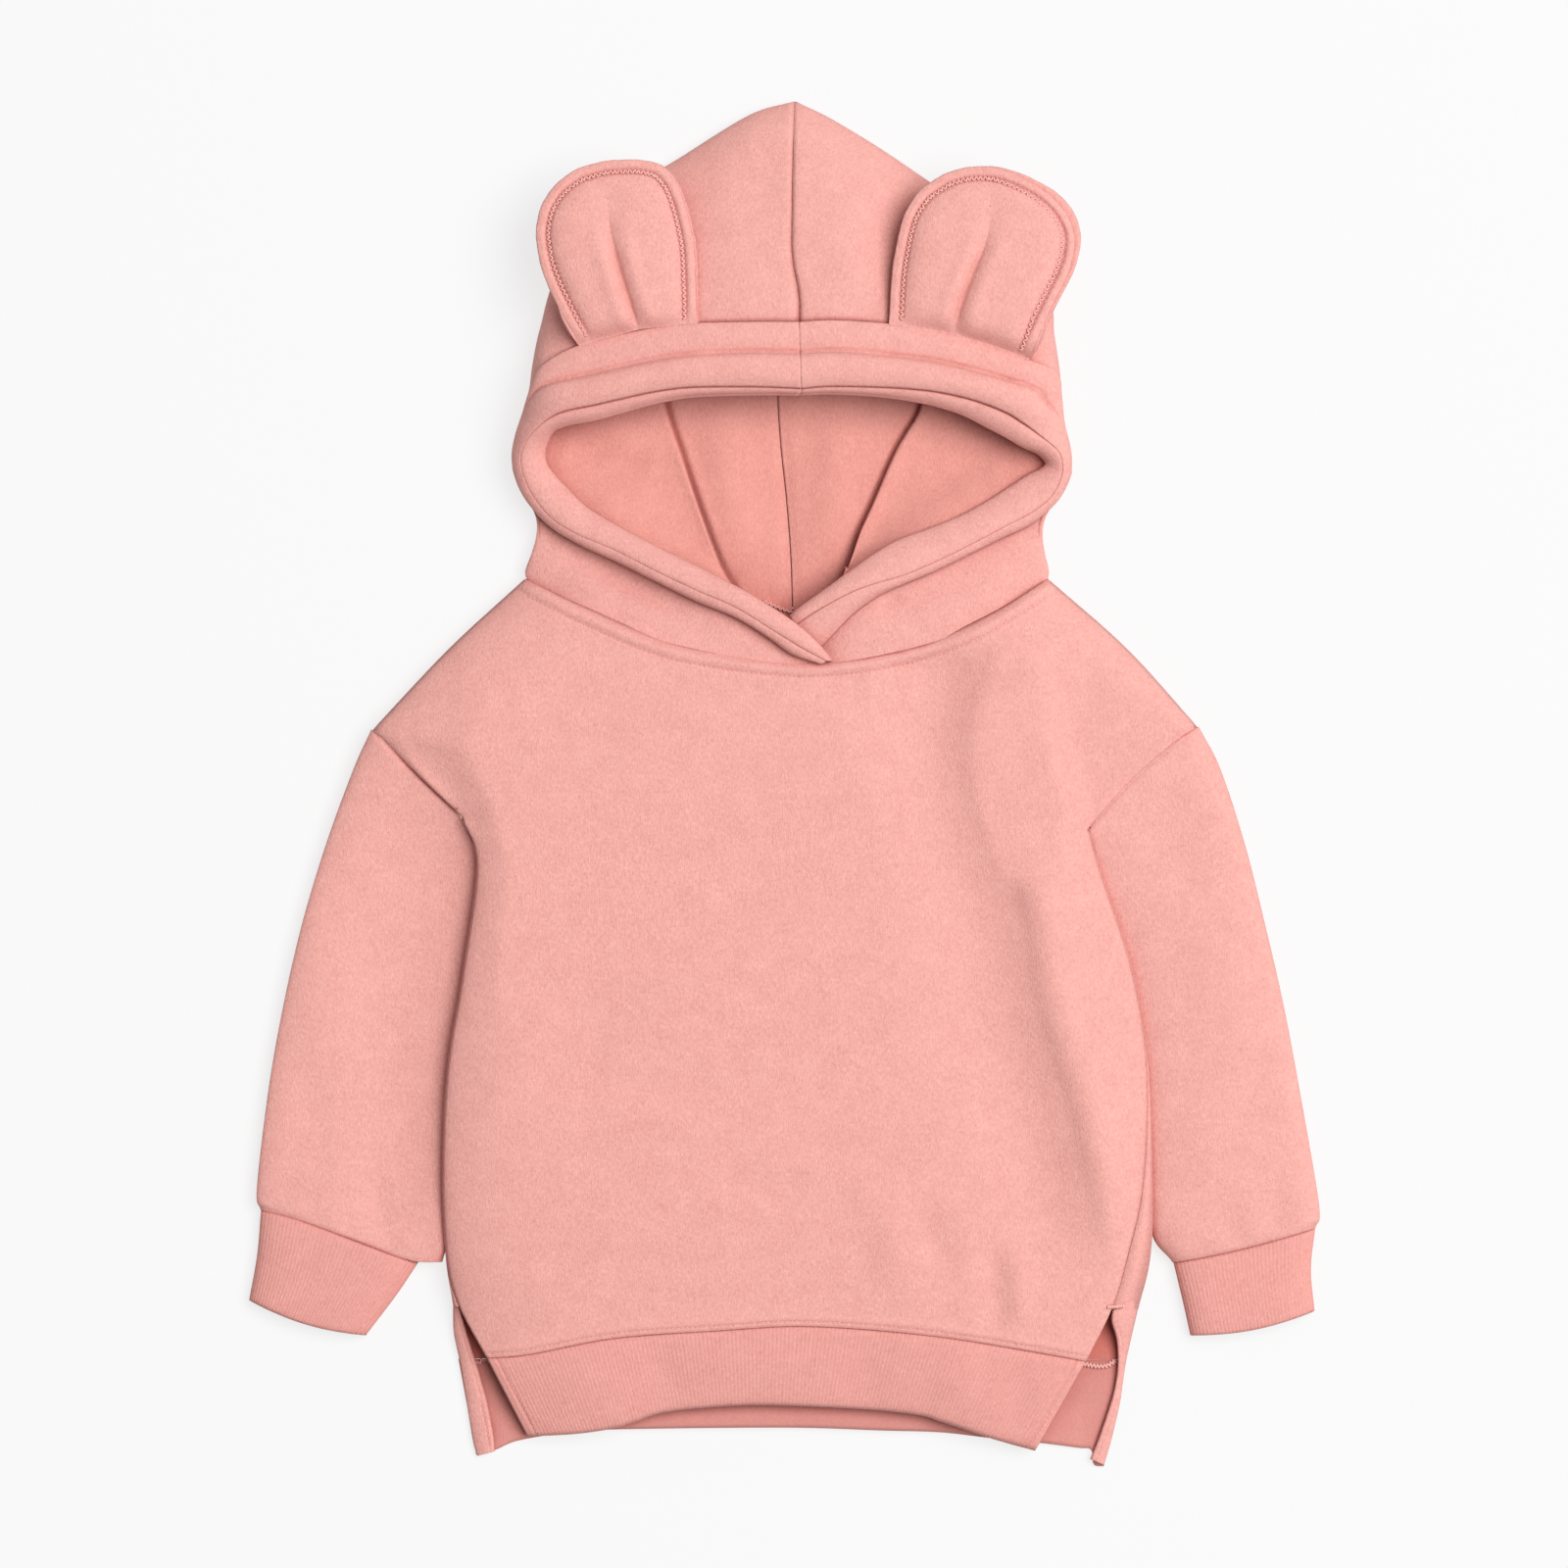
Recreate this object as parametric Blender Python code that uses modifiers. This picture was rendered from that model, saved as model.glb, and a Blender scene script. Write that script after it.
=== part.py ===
"""A toddler's pull-over hoodie with bear ears, laid flat on its back.

The frame is +Z up off the surface it lies on, +Y towards the tip of the hood and +X to the right of the wearer's
front as it is looked at. Tables are in millimetres, and every solid is one sewn piece: a wall of cloth through the
sections that its table gives.
"""

import math

import bmesh
import bpy
import numpy as np

MM = 0.001
EDGE_SEAM = 0.4  # from the crest of the hood edge to the start of its facing
UNDER_BAND = 2.45  # how far the outer hood starts below the band that is sewn over it
FLEECE_WALL = 2.0
RIB_WALL = 1.8
TRIM_WALL = 1.4
SEAM_GAP = 0.3
RIB_PITCH = 2.4  # one raised wale and one furrow
RIB_RELIEF = 0.35
HEM_SEAM_SHARE = 0.03  # of the front hem band's depth, left between it and the front panel
DOME_POWER = 2.6  # how flat the top of a stuffed tube lies before it rolls over at its sides

FLEECE_PINK = (0.83, 0.40, 0.36, 1.0)
RIB_PINK = (0.74, 0.34, 0.31, 1.0)

# The outline of the body from the neck points down to the hem seam: left and right point, height of the rolled side,
# height of the crown, how far inside the outline the front panel starts at each side, and how much the back rolls up.
BODY_STATIONS = [
    # name, left_x, left_y, right_x, right_y, side_z, crown_z, front_in_left, front_in_right, back_roll
    ("neck point", -132.0, 104.5, 134.5, 104.5, 8.0, 25.0, 0.3, 0.3, 1.0),
    ("shoulder", -171.0, 68.5, 175.0, 68.5, 8.0, 27.0, 0.3, 0.3, 1.0),
    ("shoulder tip", -210.0, 27.0, 211.0, 28.5, 8.5, 28.0, 0.3, 0.3, 0.6),
    ("armhole", -185.5, 3.5, 180.0, 0.5, 15.0, 29.0, 0.3, 0.3, 0.0),
    ("armpit", -164.0, -16.5, 155.0, -23.0, 14.5, 30.0, 0.3, 0.3, 0.5),
    ("chest", -156.5, -42.0, 161.5, -46.0, 15.0, 31.0, 0.3, 0.3, 1.0),
    ("waist", -164.0, -98.5, 176.5, -92.0, 15.0, 31.0, 0.3, 0.3, 1.0),
    ("belly", -171.5, -146.0, 185.0, -142.0, 14.0, 30.0, 0.3, 0.6, 1.0),
    ("hip", -174.0, -200.5, 187.5, -202.0, 12.0, 28.0, 0.3, 5.0, 1.0),
    ("low hip", -172.0, -242.0, 186.5, -240.0, 10.0, 26.0, 0.3, 12.0, 1.0),
    ("vent top", -168.5, -266.0, 180.5, -267.0, 6.5, 24.0, 3.0, 14.0, 0.1),
    ("hem seam", -166.0, -293.0, 174.0, -293.5, 4.0, 23.0, 15.0, 20.5, 0.0),
]
CORNER_STATIONS = ("shoulder tip", "armpit")

# The front neck seam runs in a shallow bow from neck point to neck point, lowest where the hood edges cross.
NECK_SEAM = [(-132.0, 104.5), (-104.0, 90.0), (-63.5, 72.5), (-27.5, 65.0), (10.0, 61.5), (41.0, 64.0),
             (76.5, 72.0), (107.0, 86.5), (134.5, 104.5)]
BACK_NECK_DROP = 15.0
FRONT_HEM_SEAM = [(-151.0, -292.0), (-130.0, -290.0), (-85.5, -281.5), (-30.0, -277.5), (5.0, -275.5),
                  (40.0, -277.0), (80.0, -281.0), (118.0, -287.0), (153.5, -293.5)]
FRONT_HEM_EDGE = [(-128.5, -332.5), (-104.5, -330.5), (-80.0, -325.5), (-30.0, -316.5), (0.0, -316.0),
                  (40.0, -318.0), (80.0, -324.5), (105.0, -333.0), (130.0, -339.5)]
BACK_HEM_SEAM = [(-166.0, -294.0), (-100.0, -294.5), (0.0, -294.0), (100.0, -294.5), (173.5, -294.5)]
BACK_HEM_EDGE = [(-157.0, -342.0), (-136.0, -334.5), (-85.5, -328.5), (0.0, -327.5), (80.0, -330.0),
                 (130.0, -335.5), (163.0, -348.0)]

# Sections across each sleeve and cuff, from its outer fold to its inner fold beside the body.
SLEEVES = {
    "left": [
        # name, outer_x, outer_y, inner_x, inner_y, side_z, crown_z
        ("armhole", -210.3, 26.5, -164.6, -17.2, 8.0, 17.5),
        ("upper arm", -219.0, 8.0, -160.6, -30.0, 6.0, 18.0),
        ("above elbow", -233.0, -30.0, -157.8, -52.0, 5.0, 18.0),
        ("elbow", -245.5, -71.5, -163.5, -98.5, 5.0, 18.0),
        ("below elbow", -255.0, -113.0, -170.0, -141.0, 5.0, 17.5),
        ("forearm", -262.5, -155.5, -173.6, -184.0, 5.0, 17.0),
        ("wrist", -268.5, -206.0, -172.6, -230.0, 5.0, 16.0),
        ("cuff seam", -266.8, -216.5, -174.5, -243.5, 4.5, 13.5),
    ],
    "right": [
        ("armhole", 211.3, 28.0, 155.6, -23.7, 8.0, 17.5),
        ("upper arm", 222.0, 8.0, 157.8, -34.0, 6.0, 18.0),
        ("above elbow", 234.5, -30.0, 163.0, -52.0, 5.0, 18.0),
        ("elbow", 245.0, -71.5, 175.6, -92.0, 5.0, 18.0),
        ("below elbow", 254.5, -113.0, 183.4, -135.0, 5.0, 17.5),
        ("forearm", 262.5, -155.5, 186.8, -178.0, 5.0, 17.0),
        ("wrist", 272.5, -214.0, 187.0, -226.0, 5.0, 16.0),
        ("cuff seam", 271.0, -225.5, 198.0, -243.5, 4.5, 13.5),
    ],
}
CUFFS = {
    "left": [
        ("seam", -266.4, -217.2, -186.0, -244.0, 4.5, 11.5),
        ("edge", -272.7, -263.0, -213.0, -281.0, 4.0, 11.0),
    ],
    "right": [
        ("seam", 270.5, -226.4, 198.6, -244.5, 4.5, 11.5),
        ("edge", 270.5, -268.5, 207.0, -281.0, 4.0, 11.0),
    ],
}

# The hood edge, from the crossing at the front of the neck, round one corner and up to the centre of the band. The
# seam is where the band joins the outer hood, the edge is the crest that the facing is sewn to, and the facing's
# border is where it turns into the hood.
HOOD_EDGE = {
    "left": [
        # name, seam x y z, edge x y z, facing x y z
        ("crossing", 11.0, 68.5, 27.0, 12.5, 72.5, 32.0, 5.0, 82.5, 31.0),
        ("front", -24.0, 87.0, 26.0, -25.0, 89.5, 31.0, -20.5, 97.0, 29.0),
        ("lower front", -62.5, 104.0, 22.0, -66.5, 108.5, 27.5, -63.5, 119.0, 25.0),
        ("lower side", -103.5, 121.5, 17.0, -104.0, 127.0, 23.0, -97.0, 138.5, 20.0),
        ("neck side", -117.0, 130.8, 14.0, -115.5, 134.5, 21.0, -108.0, 146.5, 18.5),
        ("under corner", -131.0, 144.0, 13.0, -127.0, 147.5, 20.0, -114.5, 154.0, 18.0),
        ("corner", -137.5, 162.0, 13.0, -132.5, 164.0, 22.0, -122.0, 164.5, 20.0),
        ("over corner", -134.5, 182.0, 16.0, -127.5, 178.0, 27.5, -118.0, 177.0, 23.0),
        ("band end", -128.8, 202.0, 26.0, -113.0, 187.5, 35.0, -108.0, 182.5, 30.0),
        ("band side", -114.0, 218.5, 34.0, -93.0, 191.5, 38.0, -92.0, 185.5, 34.0),
        ("band", -79.0, 227.5, 39.0, -66.5, 198.0, 41.0, -65.0, 192.5, 36.5),
        ("upper band", -50.0, 233.0, 41.0, -44.0, 200.5, 42.0, -43.0, 196.0, 37.5),
        ("beside centre", -8.0, 234.0, 42.3, -8.0, 200.3, 43.0, -8.0, 196.5, 38.5),
        ("centre", 7.0, 234.0, 42.5, 7.0, 200.0, 43.0, 7.0, 196.5, 38.5),
    ],
    "right": [
        ("crossing", 21.0, 69.5, 23.0, 11.0, 73.0, 26.0, 10.5, 84.5, 25.0),
        ("front", 47.0, 87.0, 24.0, 41.0, 94.0, 29.0, 37.0, 107.0, 26.5),
        ("lower front", 74.0, 103.0, 21.0, 61.5, 105.5, 26.5, 53.0, 121.5, 24.0),
        ("lower side", 100.0, 119.0, 17.0, 102.0, 126.0, 23.0, 92.0, 136.0, 20.5),
        ("neck side", 119.5, 128.5, 14.0, 117.5, 134.0, 21.0, 103.5, 143.0, 18.5),
        ("under corner", 136.5, 142.0, 13.0, 132.0, 146.0, 20.0, 118.0, 152.0, 18.0),
        ("corner", 145.5, 160.0, 13.0, 140.5, 162.0, 22.0, 131.0, 161.5, 20.0),
        ("over corner", 142.8, 181.0, 16.0, 135.5, 174.5, 27.5, 124.5, 170.5, 23.0),
        ("band end", 139.0, 208.5, 26.0, 120.0, 183.0, 35.0, 112.5, 175.5, 30.0),
        ("band side", 120.0, 216.5, 34.0, 98.0, 192.5, 38.0, 92.0, 186.0, 34.0),
        ("band", 85.0, 228.0, 39.0, 74.0, 198.0, 41.0, 71.5, 193.0, 36.5),
        ("upper band", 57.5, 232.5, 41.0, 50.0, 200.0, 42.0, 48.0, 195.5, 37.5),
        ("beside centre", 22.0, 234.0, 42.3, 20.0, 200.3, 43.0, 20.0, 196.5, 38.5),
        ("centre", 7.6, 234.0, 42.5, 7.6, 200.0, 43.0, 7.6, 196.5, 38.5),
    ],
}
# Where the outer hood goes from its band seam: to its fold, and under it to an end on the back or, along the front of
# the neck, to the edge of the seam allowance that is turned in there.
HOOD_FOLD = {
    "left": [
        # name, fold x y z, end x y z
        ("crossing", 10.0, 62.4, 24.0, 10.0, 72.0, 16.0),
        ("front", -27.5, 65.9, 23.5, -25.0, 75.5, 15.5),
        ("lower front", -63.5, 73.4, 22.5, -59.5, 82.5, 14.5),
        ("lower side", -103.0, 90.9, 18.0, -96.0, 99.0, 9.5),
        ("neck side", -131.0, 106.4, 7.5, -112.0, 103.8, 0.0),
        ("under corner", -132.0, 143.2, 7.0, -66.0, 97.5, 0.0),
        ("corner", -138.2, 162.0, 7.0, -30.0, 92.0, 0.0),
        ("over corner", -135.3, 182.2, 8.0, 7.0, 90.5, 0.0),
        ("band end", -129.8, 203.5, 9.0, 7.0, 122.0, 0.0),
        ("band side", -122.0, 243.5, 8.0, 7.0, 165.0, 0.0),
        ("band", -93.0, 290.0, 7.0, 7.0, 215.0, 0.0),
        ("upper band", -50.5, 320.5, 7.0, 7.0, 265.0, 0.0),
        ("beside centre", -6.0, 345.2, 7.0, 7.0, 300.0, 0.0),
        ("centre", 7.0, 347.6, 7.0, 7.0, 325.0, 0.0),
    ],
    "right": [
        ("crossing", 20.0, 62.9, 22.6, 20.0, 73.0, 14.2),
        ("front", 41.0, 64.9, 23.5, 39.0, 74.5, 13.6),
        ("lower front", 76.5, 72.9, 22.5, 73.5, 82.0, 14.5),
        ("lower side", 107.0, 88.0, 18.4, 104.0, 96.5, 10.5),
        ("neck side", 133.0, 106.5, 7.5, 114.0, 104.0, 0.0),
        ("under corner", 137.5, 141.4, 7.0, 68.0, 97.5, 0.0),
        ("corner", 146.2, 160.0, 7.0, 32.0, 92.0, 0.0),
        ("over corner", 143.6, 181.2, 8.0, 7.6, 90.5, 0.0),
        ("band end", 141.0, 206.0, 9.0, 7.6, 122.0, 0.0),
        ("band side", 136.5, 243.5, 8.0, 7.6, 165.0, 0.0),
        ("band", 111.0, 278.0, 7.0, 7.6, 215.0, 0.0),
        ("upper band", 61.0, 315.5, 7.0, 7.6, 265.0, 0.0),
        ("beside centre", 16.0, 345.2, 7.0, 7.6, 300.0, 0.0),
        ("centre", 7.6, 347.6, 7.0, 7.6, 325.0, 0.0),
    ],
}
HOOD_ROWS_BETWEEN = 2  # rows of points from one hood station to the next
OUTER_FOLD = 7  # which point of an outer hood section lies on its fold
LEAST_TURN = 6.5  # and how far the cloth reaches in from the fold before it is sewn

# Lining that shows inside the hood, lying on its back: a side piece over a centre piece on each side of x = 7.
LINING = {
    "side": {
        "left": [
            # name, outer x y z, inner x y z
            ("front", -30.0, 106.0, 20.0, -27.0, 104.0, 17.0),
            ("lower", -72.0, 127.0, 19.0, -38.0, 132.0, 10.0),
            ("side", -112.0, 157.0, 15.0, -53.0, 167.0, 8.5),
            ("corner", -120.0, 178.0, 13.0, -61.0, 195.0, 8.5),
            ("deep", -119.0, 225.0, 10.0, -66.0, 240.0, 8.0),
            ("crown", -88.0, 275.0, 8.0, -60.0, 285.0, 7.5),
        ],
        "right": [
            ("front", 38.0, 111.0, 19.0, 34.0, 109.0, 16.0),
            ("lower", 71.0, 129.0, 16.5, 43.0, 135.0, 10.0),
            ("side", 110.0, 149.0, 13.0, 55.0, 168.0, 8.5),
            ("corner", 128.0, 170.0, 13.0, 68.0, 195.0, 8.5),
            ("deep", 130.0, 225.0, 10.0, 74.0, 240.0, 8.0),
            ("crown", 104.0, 268.0, 8.0, 68.0, 283.0, 7.5),
        ],
    },
    "back": {
        "left": [
            ("neck", -28.0, 95.0, 4.5, 6.8, 91.0, 4.5),
            ("nape", -36.0, 128.0, 4.5, 6.8, 122.0, 4.5),
            ("middle", -58.0, 165.0, 4.6, 6.8, 163.0, 5.0),
            ("deep", -70.0, 215.0, 4.6, 6.8, 215.0, 5.0),
            ("crown", -66.0, 280.0, 4.6, 6.8, 300.0, 5.0),
        ],
        "right": [
            ("neck", 34.0, 96.0, 4.5, 7.8, 91.0, 4.5),
            ("nape", 44.0, 128.0, 4.5, 7.8, 122.0, 4.5),
            ("middle", 64.0, 165.0, 4.6, 7.8, 163.0, 5.0),
            ("deep", 80.0, 215.0, 4.6, 7.8, 215.0, 5.0),
            ("crown", 74.0, 280.0, 4.6, 7.8, 300.0, 5.0),
        ],
    },
}

# Each ear from its base in the band seam to its round top: left and right point of each row, and the height.
EARS = {
    "left": [
        # name, left x y, right x y, z
        ("base", -103.0, 223.5, -45.5, 235.0, 45.0),
        ("low", -118.0, 252.0, -44.5, 262.0, 44.5),
        ("middle", -125.0, 277.5, -47.0, 285.0, 43.0),
        ("high", -120.5, 297.0, -51.5, 299.0, 41.0),
        ("shoulder", -104.5, 310.5, -60.5, 312.0, 39.0),
        ("top", -92.0, 314.6, -72.0, 315.4, 38.0),
    ],
    "right": [
        ("base", 53.0, 235.4, 123.0, 217.4, 45.0),
        ("low", 54.5, 260.0, 136.0, 245.0, 44.5),
        ("middle", 59.5, 285.0, 147.5, 272.0, 43.0),
        ("high", 71.5, 300.0, 142.5, 293.5, 41.0),
        ("shoulder", 83.5, 308.5, 127.0, 305.0, 39.0),
        ("top", 94.0, 311.4, 114.0, 310.0, 38.0),
    ],
}
EAR_CROWN = 3.0
EAR_PLEAT = 2.0

# The turned strips that finish the back edges of the vents, lying on the back hem.
VENT_STRIPS = {
    "left": [
        # name, outer x y, inner x y
        ("top", -164.8, -277.0, -161.5, -277.0),
        ("seam", -165.0, -293.0, -157.5, -293.0),
        ("band", -162.0, -313.0, -153.0, -313.0),
        ("end", -157.5, -338.0, -148.0, -336.0),
    ],
    "right": [
        ("top", 168.0, -277.0, 173.5, -277.0),
        ("seam", 166.0, -293.0, 172.5, -293.0),
        ("band", 163.0, -313.0, 169.5, -313.0),
        ("end", 157.0, -339.0, 164.0, -341.0),
    ],
}


def clear_scene():
    for obj in list(bpy.data.objects):
        bpy.data.objects.remove(obj, do_unlink=True)


def make_material(name, colour, roughness):
    material = bpy.data.materials.new(name)
    material.use_nodes = True
    shader = material.node_tree.nodes["Principled BSDF"]
    shader.inputs["Base Color"].default_value = colour
    shader.inputs["Roughness"].default_value = roughness
    shader.inputs["Metallic"].default_value = 0.0
    return material


def smooth_run(points, count):
    """Points evenly spaced by arc length on a Catmull-Rom curve through these, ends included."""
    points = np.asarray(points, float)
    if len(points) == 2:
        return points[0] + (points[1] - points[0]) * np.linspace(0, 1, count)[:, None]
    padded = np.vstack([2 * points[0] - points[1], points, 2 * points[-1] - points[-2]])
    dense = []
    for i in range(1, len(padded) - 2):
        before, start, end, after = padded[i - 1 : i + 3]
        for t in np.linspace(0, 1, 12, endpoint=False):
            dense.append(
                0.5 * (2 * start + (end - before) * t + (2 * before - 5 * start + 4 * end - after) * t**2
                       + (3 * start - before - 3 * end + after) * t**3)
            )
    dense = np.vstack([dense, points[-1]])
    travelled = np.concatenate([[0], np.cumsum(np.linalg.norm(np.diff(dense, axis=0), axis=1))])
    wanted = np.linspace(0, travelled[-1], count)
    return np.column_stack([np.interp(wanted, travelled, dense[:, k]) for k in range(points.shape[1])])


def refine(stations, steps, smooth=True):
    """The stations' numbers with more rows between them, steps rows from each station to the next."""
    values = np.asarray(stations, float)
    if not smooth:
        where = np.linspace(0, len(values) - 1, steps * (len(values) - 1) + 1)
        return np.column_stack([np.interp(where, range(len(values)), column) for column in values.T])
    padded = np.vstack([2 * values[0] - values[1], values, 2 * values[-1] - values[-2]])
    rows = []
    for i in range(1, len(padded) - 2):
        before, start, end, after = padded[i - 1 : i + 3]
        for t in np.linspace(0, 1, steps, endpoint=False):
            rows.append(
                0.5 * (2 * start + (end - before) * t + (2 * before - 5 * start + 4 * end - after) * t**2
                       + (3 * start - before - 3 * end + after) * t**3)
            )
    return np.vstack([rows, values[-1]])


def dome(across):
    """Height, 0 to 1, of a stuffed cloth tube at each place across it, 0 to 1."""
    return (1 - np.abs(2 * np.asarray(across) - 1) ** DOME_POWER).clip(0) ** 0.5


def grid_faces(rows, columns, ring):
    faces = []
    for r in range(rows - 1):
        for c in range(columns if ring else columns - 1):
            right = (c + 1) % columns
            faces.append((r * columns + c, (r + 1) * columns + c, (r + 1) * columns + right, r * columns + right))
    return faces


def add_object(name, mesh, material, collection):
    mesh.materials.append(material)
    mesh.shade_smooth()
    mesh.set_sharp_from_angle(angle=math.radians(50))
    obj = bpy.data.objects.new(name, mesh)
    collection.objects.link(obj)
    return obj


def cloth(name, grid, wall, material, collection, ring=False):
    """A piece of cloth: an open surface through a grid of outer points, thickened inwards."""
    grid = np.asarray(grid, float)
    rows, columns = grid.shape[:2]
    mesh = bpy.data.meshes.new(name)
    mesh.from_pydata((grid.reshape(-1, 3) * MM).tolist(), [], grid_faces(rows, columns, ring))
    obj = add_object(name, mesh, material, collection)
    solidify = obj.modifiers.new("wall", "SOLIDIFY")
    solidify.thickness = wall * MM
    solidify.offset = -1.0
    return obj


def walled(name, outer, inner, material, collection, ring=False):
    """A piece of cloth between an outer grid of points and an inner one, joined round the edges."""
    outer, inner = np.asarray(outer, float), np.asarray(inner, float)
    rows, columns = outer.shape[:2]
    mesh = bpy.data.meshes.new(name)
    points = np.vstack([outer.reshape(-1, 3), inner.reshape(-1, 3)]) * MM
    outside = grid_faces(rows, columns, ring)
    half = rows * columns
    faces = outside + [tuple(half + i for i in reversed(face)) for face in outside]
    steps = columns if ring else columns - 1
    for c in range(steps):
        right = (c + 1) % columns
        last = (rows - 1) * columns
        faces.append((c, right, half + right, half + c))
        faces.append((last + right, last + c, half + last + c, half + last + right))
    if not ring:
        for r in range(rows - 1):
            a, b = r * columns, (r + 1) * columns
            faces.append((b, a, half + a, half + b))
            a, b = a + columns - 1, b + columns - 1
            faces.append((a, b, half + b, half + a))
    mesh.from_pydata(points.tolist(), [], faces)
    build = bmesh.new()
    build.from_mesh(mesh)
    bmesh.ops.recalc_face_normals(build, faces=build.faces)
    build.to_mesh(mesh)
    build.free()
    return add_object(name, mesh, material, collection)


def body_rows():
    """Rows of body values from the neck to the hem seam, with the corners at shoulder and armpit kept sharp."""
    names = [station[0] for station in BODY_STATIONS]
    values = [station[1:] for station in BODY_STATIONS]
    corners = [0] + [names.index(name) for name in CORNER_STATIONS] + [len(names) - 1]
    rows = []
    for first, last in zip(corners, corners[1:]):
        run = refine(values[first : last + 1], 2)
        rows += list(run if last == len(names) - 1 else run[:-1])
    rows = np.array(rows)
    rows[:, 8] = rows[:, 8].clip(0, 1)
    return rows


def body_point(row, across, height, neck, hem, progress):
    """A point of the body: straight across its row, bowed by the neck seam above and the hem seam below."""
    place = row[0:2] + (row[2:4] - row[0:2]) * across
    neck_bow = np.interp(across, neck[:, 0], neck[:, 1]) * max(0.0, 1 - progress * 1.9)
    hem_bow = np.interp(across, hem[:, 0], hem[:, 1]) * max(0.0, (progress - 0.55) / 0.45) ** 1.5
    return np.array([place[0], place[1] + neck_bow + hem_bow, height])


def bow_of(curve):
    """How far a seam lies below or above the straight line between its ends, against the share of the way across."""
    curve = smooth_run(curve, 40)
    start, end = curve[0], curve[-1]
    across = (curve[:, 0] - start[0]) / (end[0] - start[0])
    return np.column_stack([across, curve[:, 1] - (start[1] + (end[1] - start[1]) * across)])


def inner_row(row):
    """The row of the cloth's inner side: drawn in by the wall at both sides and at the crown."""
    drawn = row.copy()
    along = (row[2:4] - row[0:2]) / np.hypot(*(row[2:4] - row[0:2]))
    drawn[0:2] += along * FLEECE_WALL
    drawn[2:4] -= along * FLEECE_WALL
    drawn[5] -= FLEECE_WALL
    return drawn


def back_edge(row, side, inside):
    """Across the back panel's rolled side, from its seam down to the floor: share of the way across and height."""
    width, roll = row[2] - row[0], row[8]
    top = max(0.1, inside - 4 * SEAM_GAP)
    top_height = row[4] + (row[5] - row[4]) * float(dome(top / width))
    points = []
    for flat_in, rolled_in, height in (
        (0.3, top, top_height),
        (2.5, 0.0, row[4]),
        (6.0, 1.8, row[4] * 0.42),
        (10.0, 6.5, row[4] * 0.10),
        (15.0, 14.0, 0.0),
    ):
        u = (flat_in + (rolled_in - flat_in) * roll) / width
        points.append((1 - u if side == "right" else u, height * roll))
    return points


def make_body(fleece, collection):
    """Front and back panels: the front domes from side seam to side seam, the back lies flat and rolls up to it."""
    rows = body_rows()
    neck, hem = bow_of(NECK_SEAM), bow_of(FRONT_HEM_SEAM)
    progress = np.concatenate([[0], np.cumsum(np.hypot(*np.diff((rows[:, 0:2] + rows[:, 2:4]) / 2, axis=0).T))])
    progress /= progress[-1]
    spread = 0.5 - 0.5 * np.cos(np.pi * np.linspace(0, 1, 17))
    front = {"outer": [], "inner": []}
    back = {"outer": [], "inner": []}
    back_neck = np.column_stack([neck[:, 0], -BACK_NECK_DROP * np.sin(np.pi * neck[:, 0])])
    flat_hem = np.column_stack([hem[:, 0], 0 * hem[:, 1]])
    for row, share in zip(rows, progress):
        width, roll = row[2] - row[0], row[8]
        start, end = row[6] / width, 1 - row[7] / width
        for layer, layer_row in (("outer", row), ("inner", inner_row(row))):
            line = []
            for u in start + (end - start) * spread:
                height = layer_row[4] + (layer_row[5] - layer_row[4]) * float(dome(u))
                line.append(body_point(layer_row, u, height, neck, hem, share))
            front[layer].append(line)
        left, right = back_edge(row, "left", row[6]), back_edge(row, "right", row[7])
        middle = [(u, 0.0) for u in np.linspace(0.12, 0.88, 5)]
        across = left + middle + right[::-1]
        section = np.array(across) * (width, 1.0)
        steps = np.diff(section, axis=0)
        square = np.column_stack([-steps[:, 1], steps[:, 0]]) / np.hypot(steps[:, 0], steps[:, 1])[:, None]
        joined = np.vstack([square[:1], square[:-1] + square[1:], square[-1:]])
        joined /= np.hypot(joined[:, 0], joined[:, 1])[:, None]
        line_out, line_in = [], []
        for (place, height), (toward, lift) in zip(section, joined * FLEECE_WALL):
            line_out.append(body_point(row, place / width, height, back_neck, flat_hem, share))
            line_in.append(body_point(row, (place + toward) / width, height + lift, back_neck, flat_hem, share))
        back["outer"].append(line_out[::-1])
        back["inner"].append(line_in[::-1])
    walled("body_front", front["outer"], front["inner"], fleece, collection)
    walled("body_back", back["outer"], back["inner"], fleece, collection)
    return rows


def ring_section(row, top_points, floor_points):
    """One closed section across a laid-flat tube: over the top from its outer fold to its inner fold, and back."""
    outer, inner = np.array(row[0:2]), np.array(row[2:4])
    side, crown = row[4], row[5]
    width = np.hypot(*(inner - outer))
    across = 0.5 - 0.5 * np.cos(np.pi * np.linspace(0, 1, top_points))
    ring = [(u, side + (crown - side) * float(dome(u))) for u in across]
    roll = 1.3 * side / width
    ring += [(1 - roll * 0.3, side * 0.35)]
    ring += [(u, 0.0) for u in np.linspace(1 - roll, roll, floor_points)]
    ring += [(roll * 0.3, side * 0.35)]
    return [(*(outer + (inner - outer) * u), z) for u, z in ring]


def facing_up(grid):
    """The grid with its columns turned round if its first ring would be inside out."""
    first, second = np.array(grid[0]), np.array(grid[1])
    centre = first.mean(axis=0)
    normal = np.cross(second[0] - first[0], first[1] - first[0])
    outward = np.dot(normal, first[0] - centre) > 0
    return np.array(grid) if outward else np.array(grid)[:, ::-1]


def make_sleeves(fleece, rib, collection):
    for side in ("left", "right"):
        rows = refine([station[1:] for station in SLEEVES[side]], 2)
        rings = [ring_section(row, 11, 5) for row in rows]
        cloth(f"sleeve_{side}", facing_up(rings), FLEECE_WALL, fleece, collection, ring=True)
        make_cuff(side, rib, collection)


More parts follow.
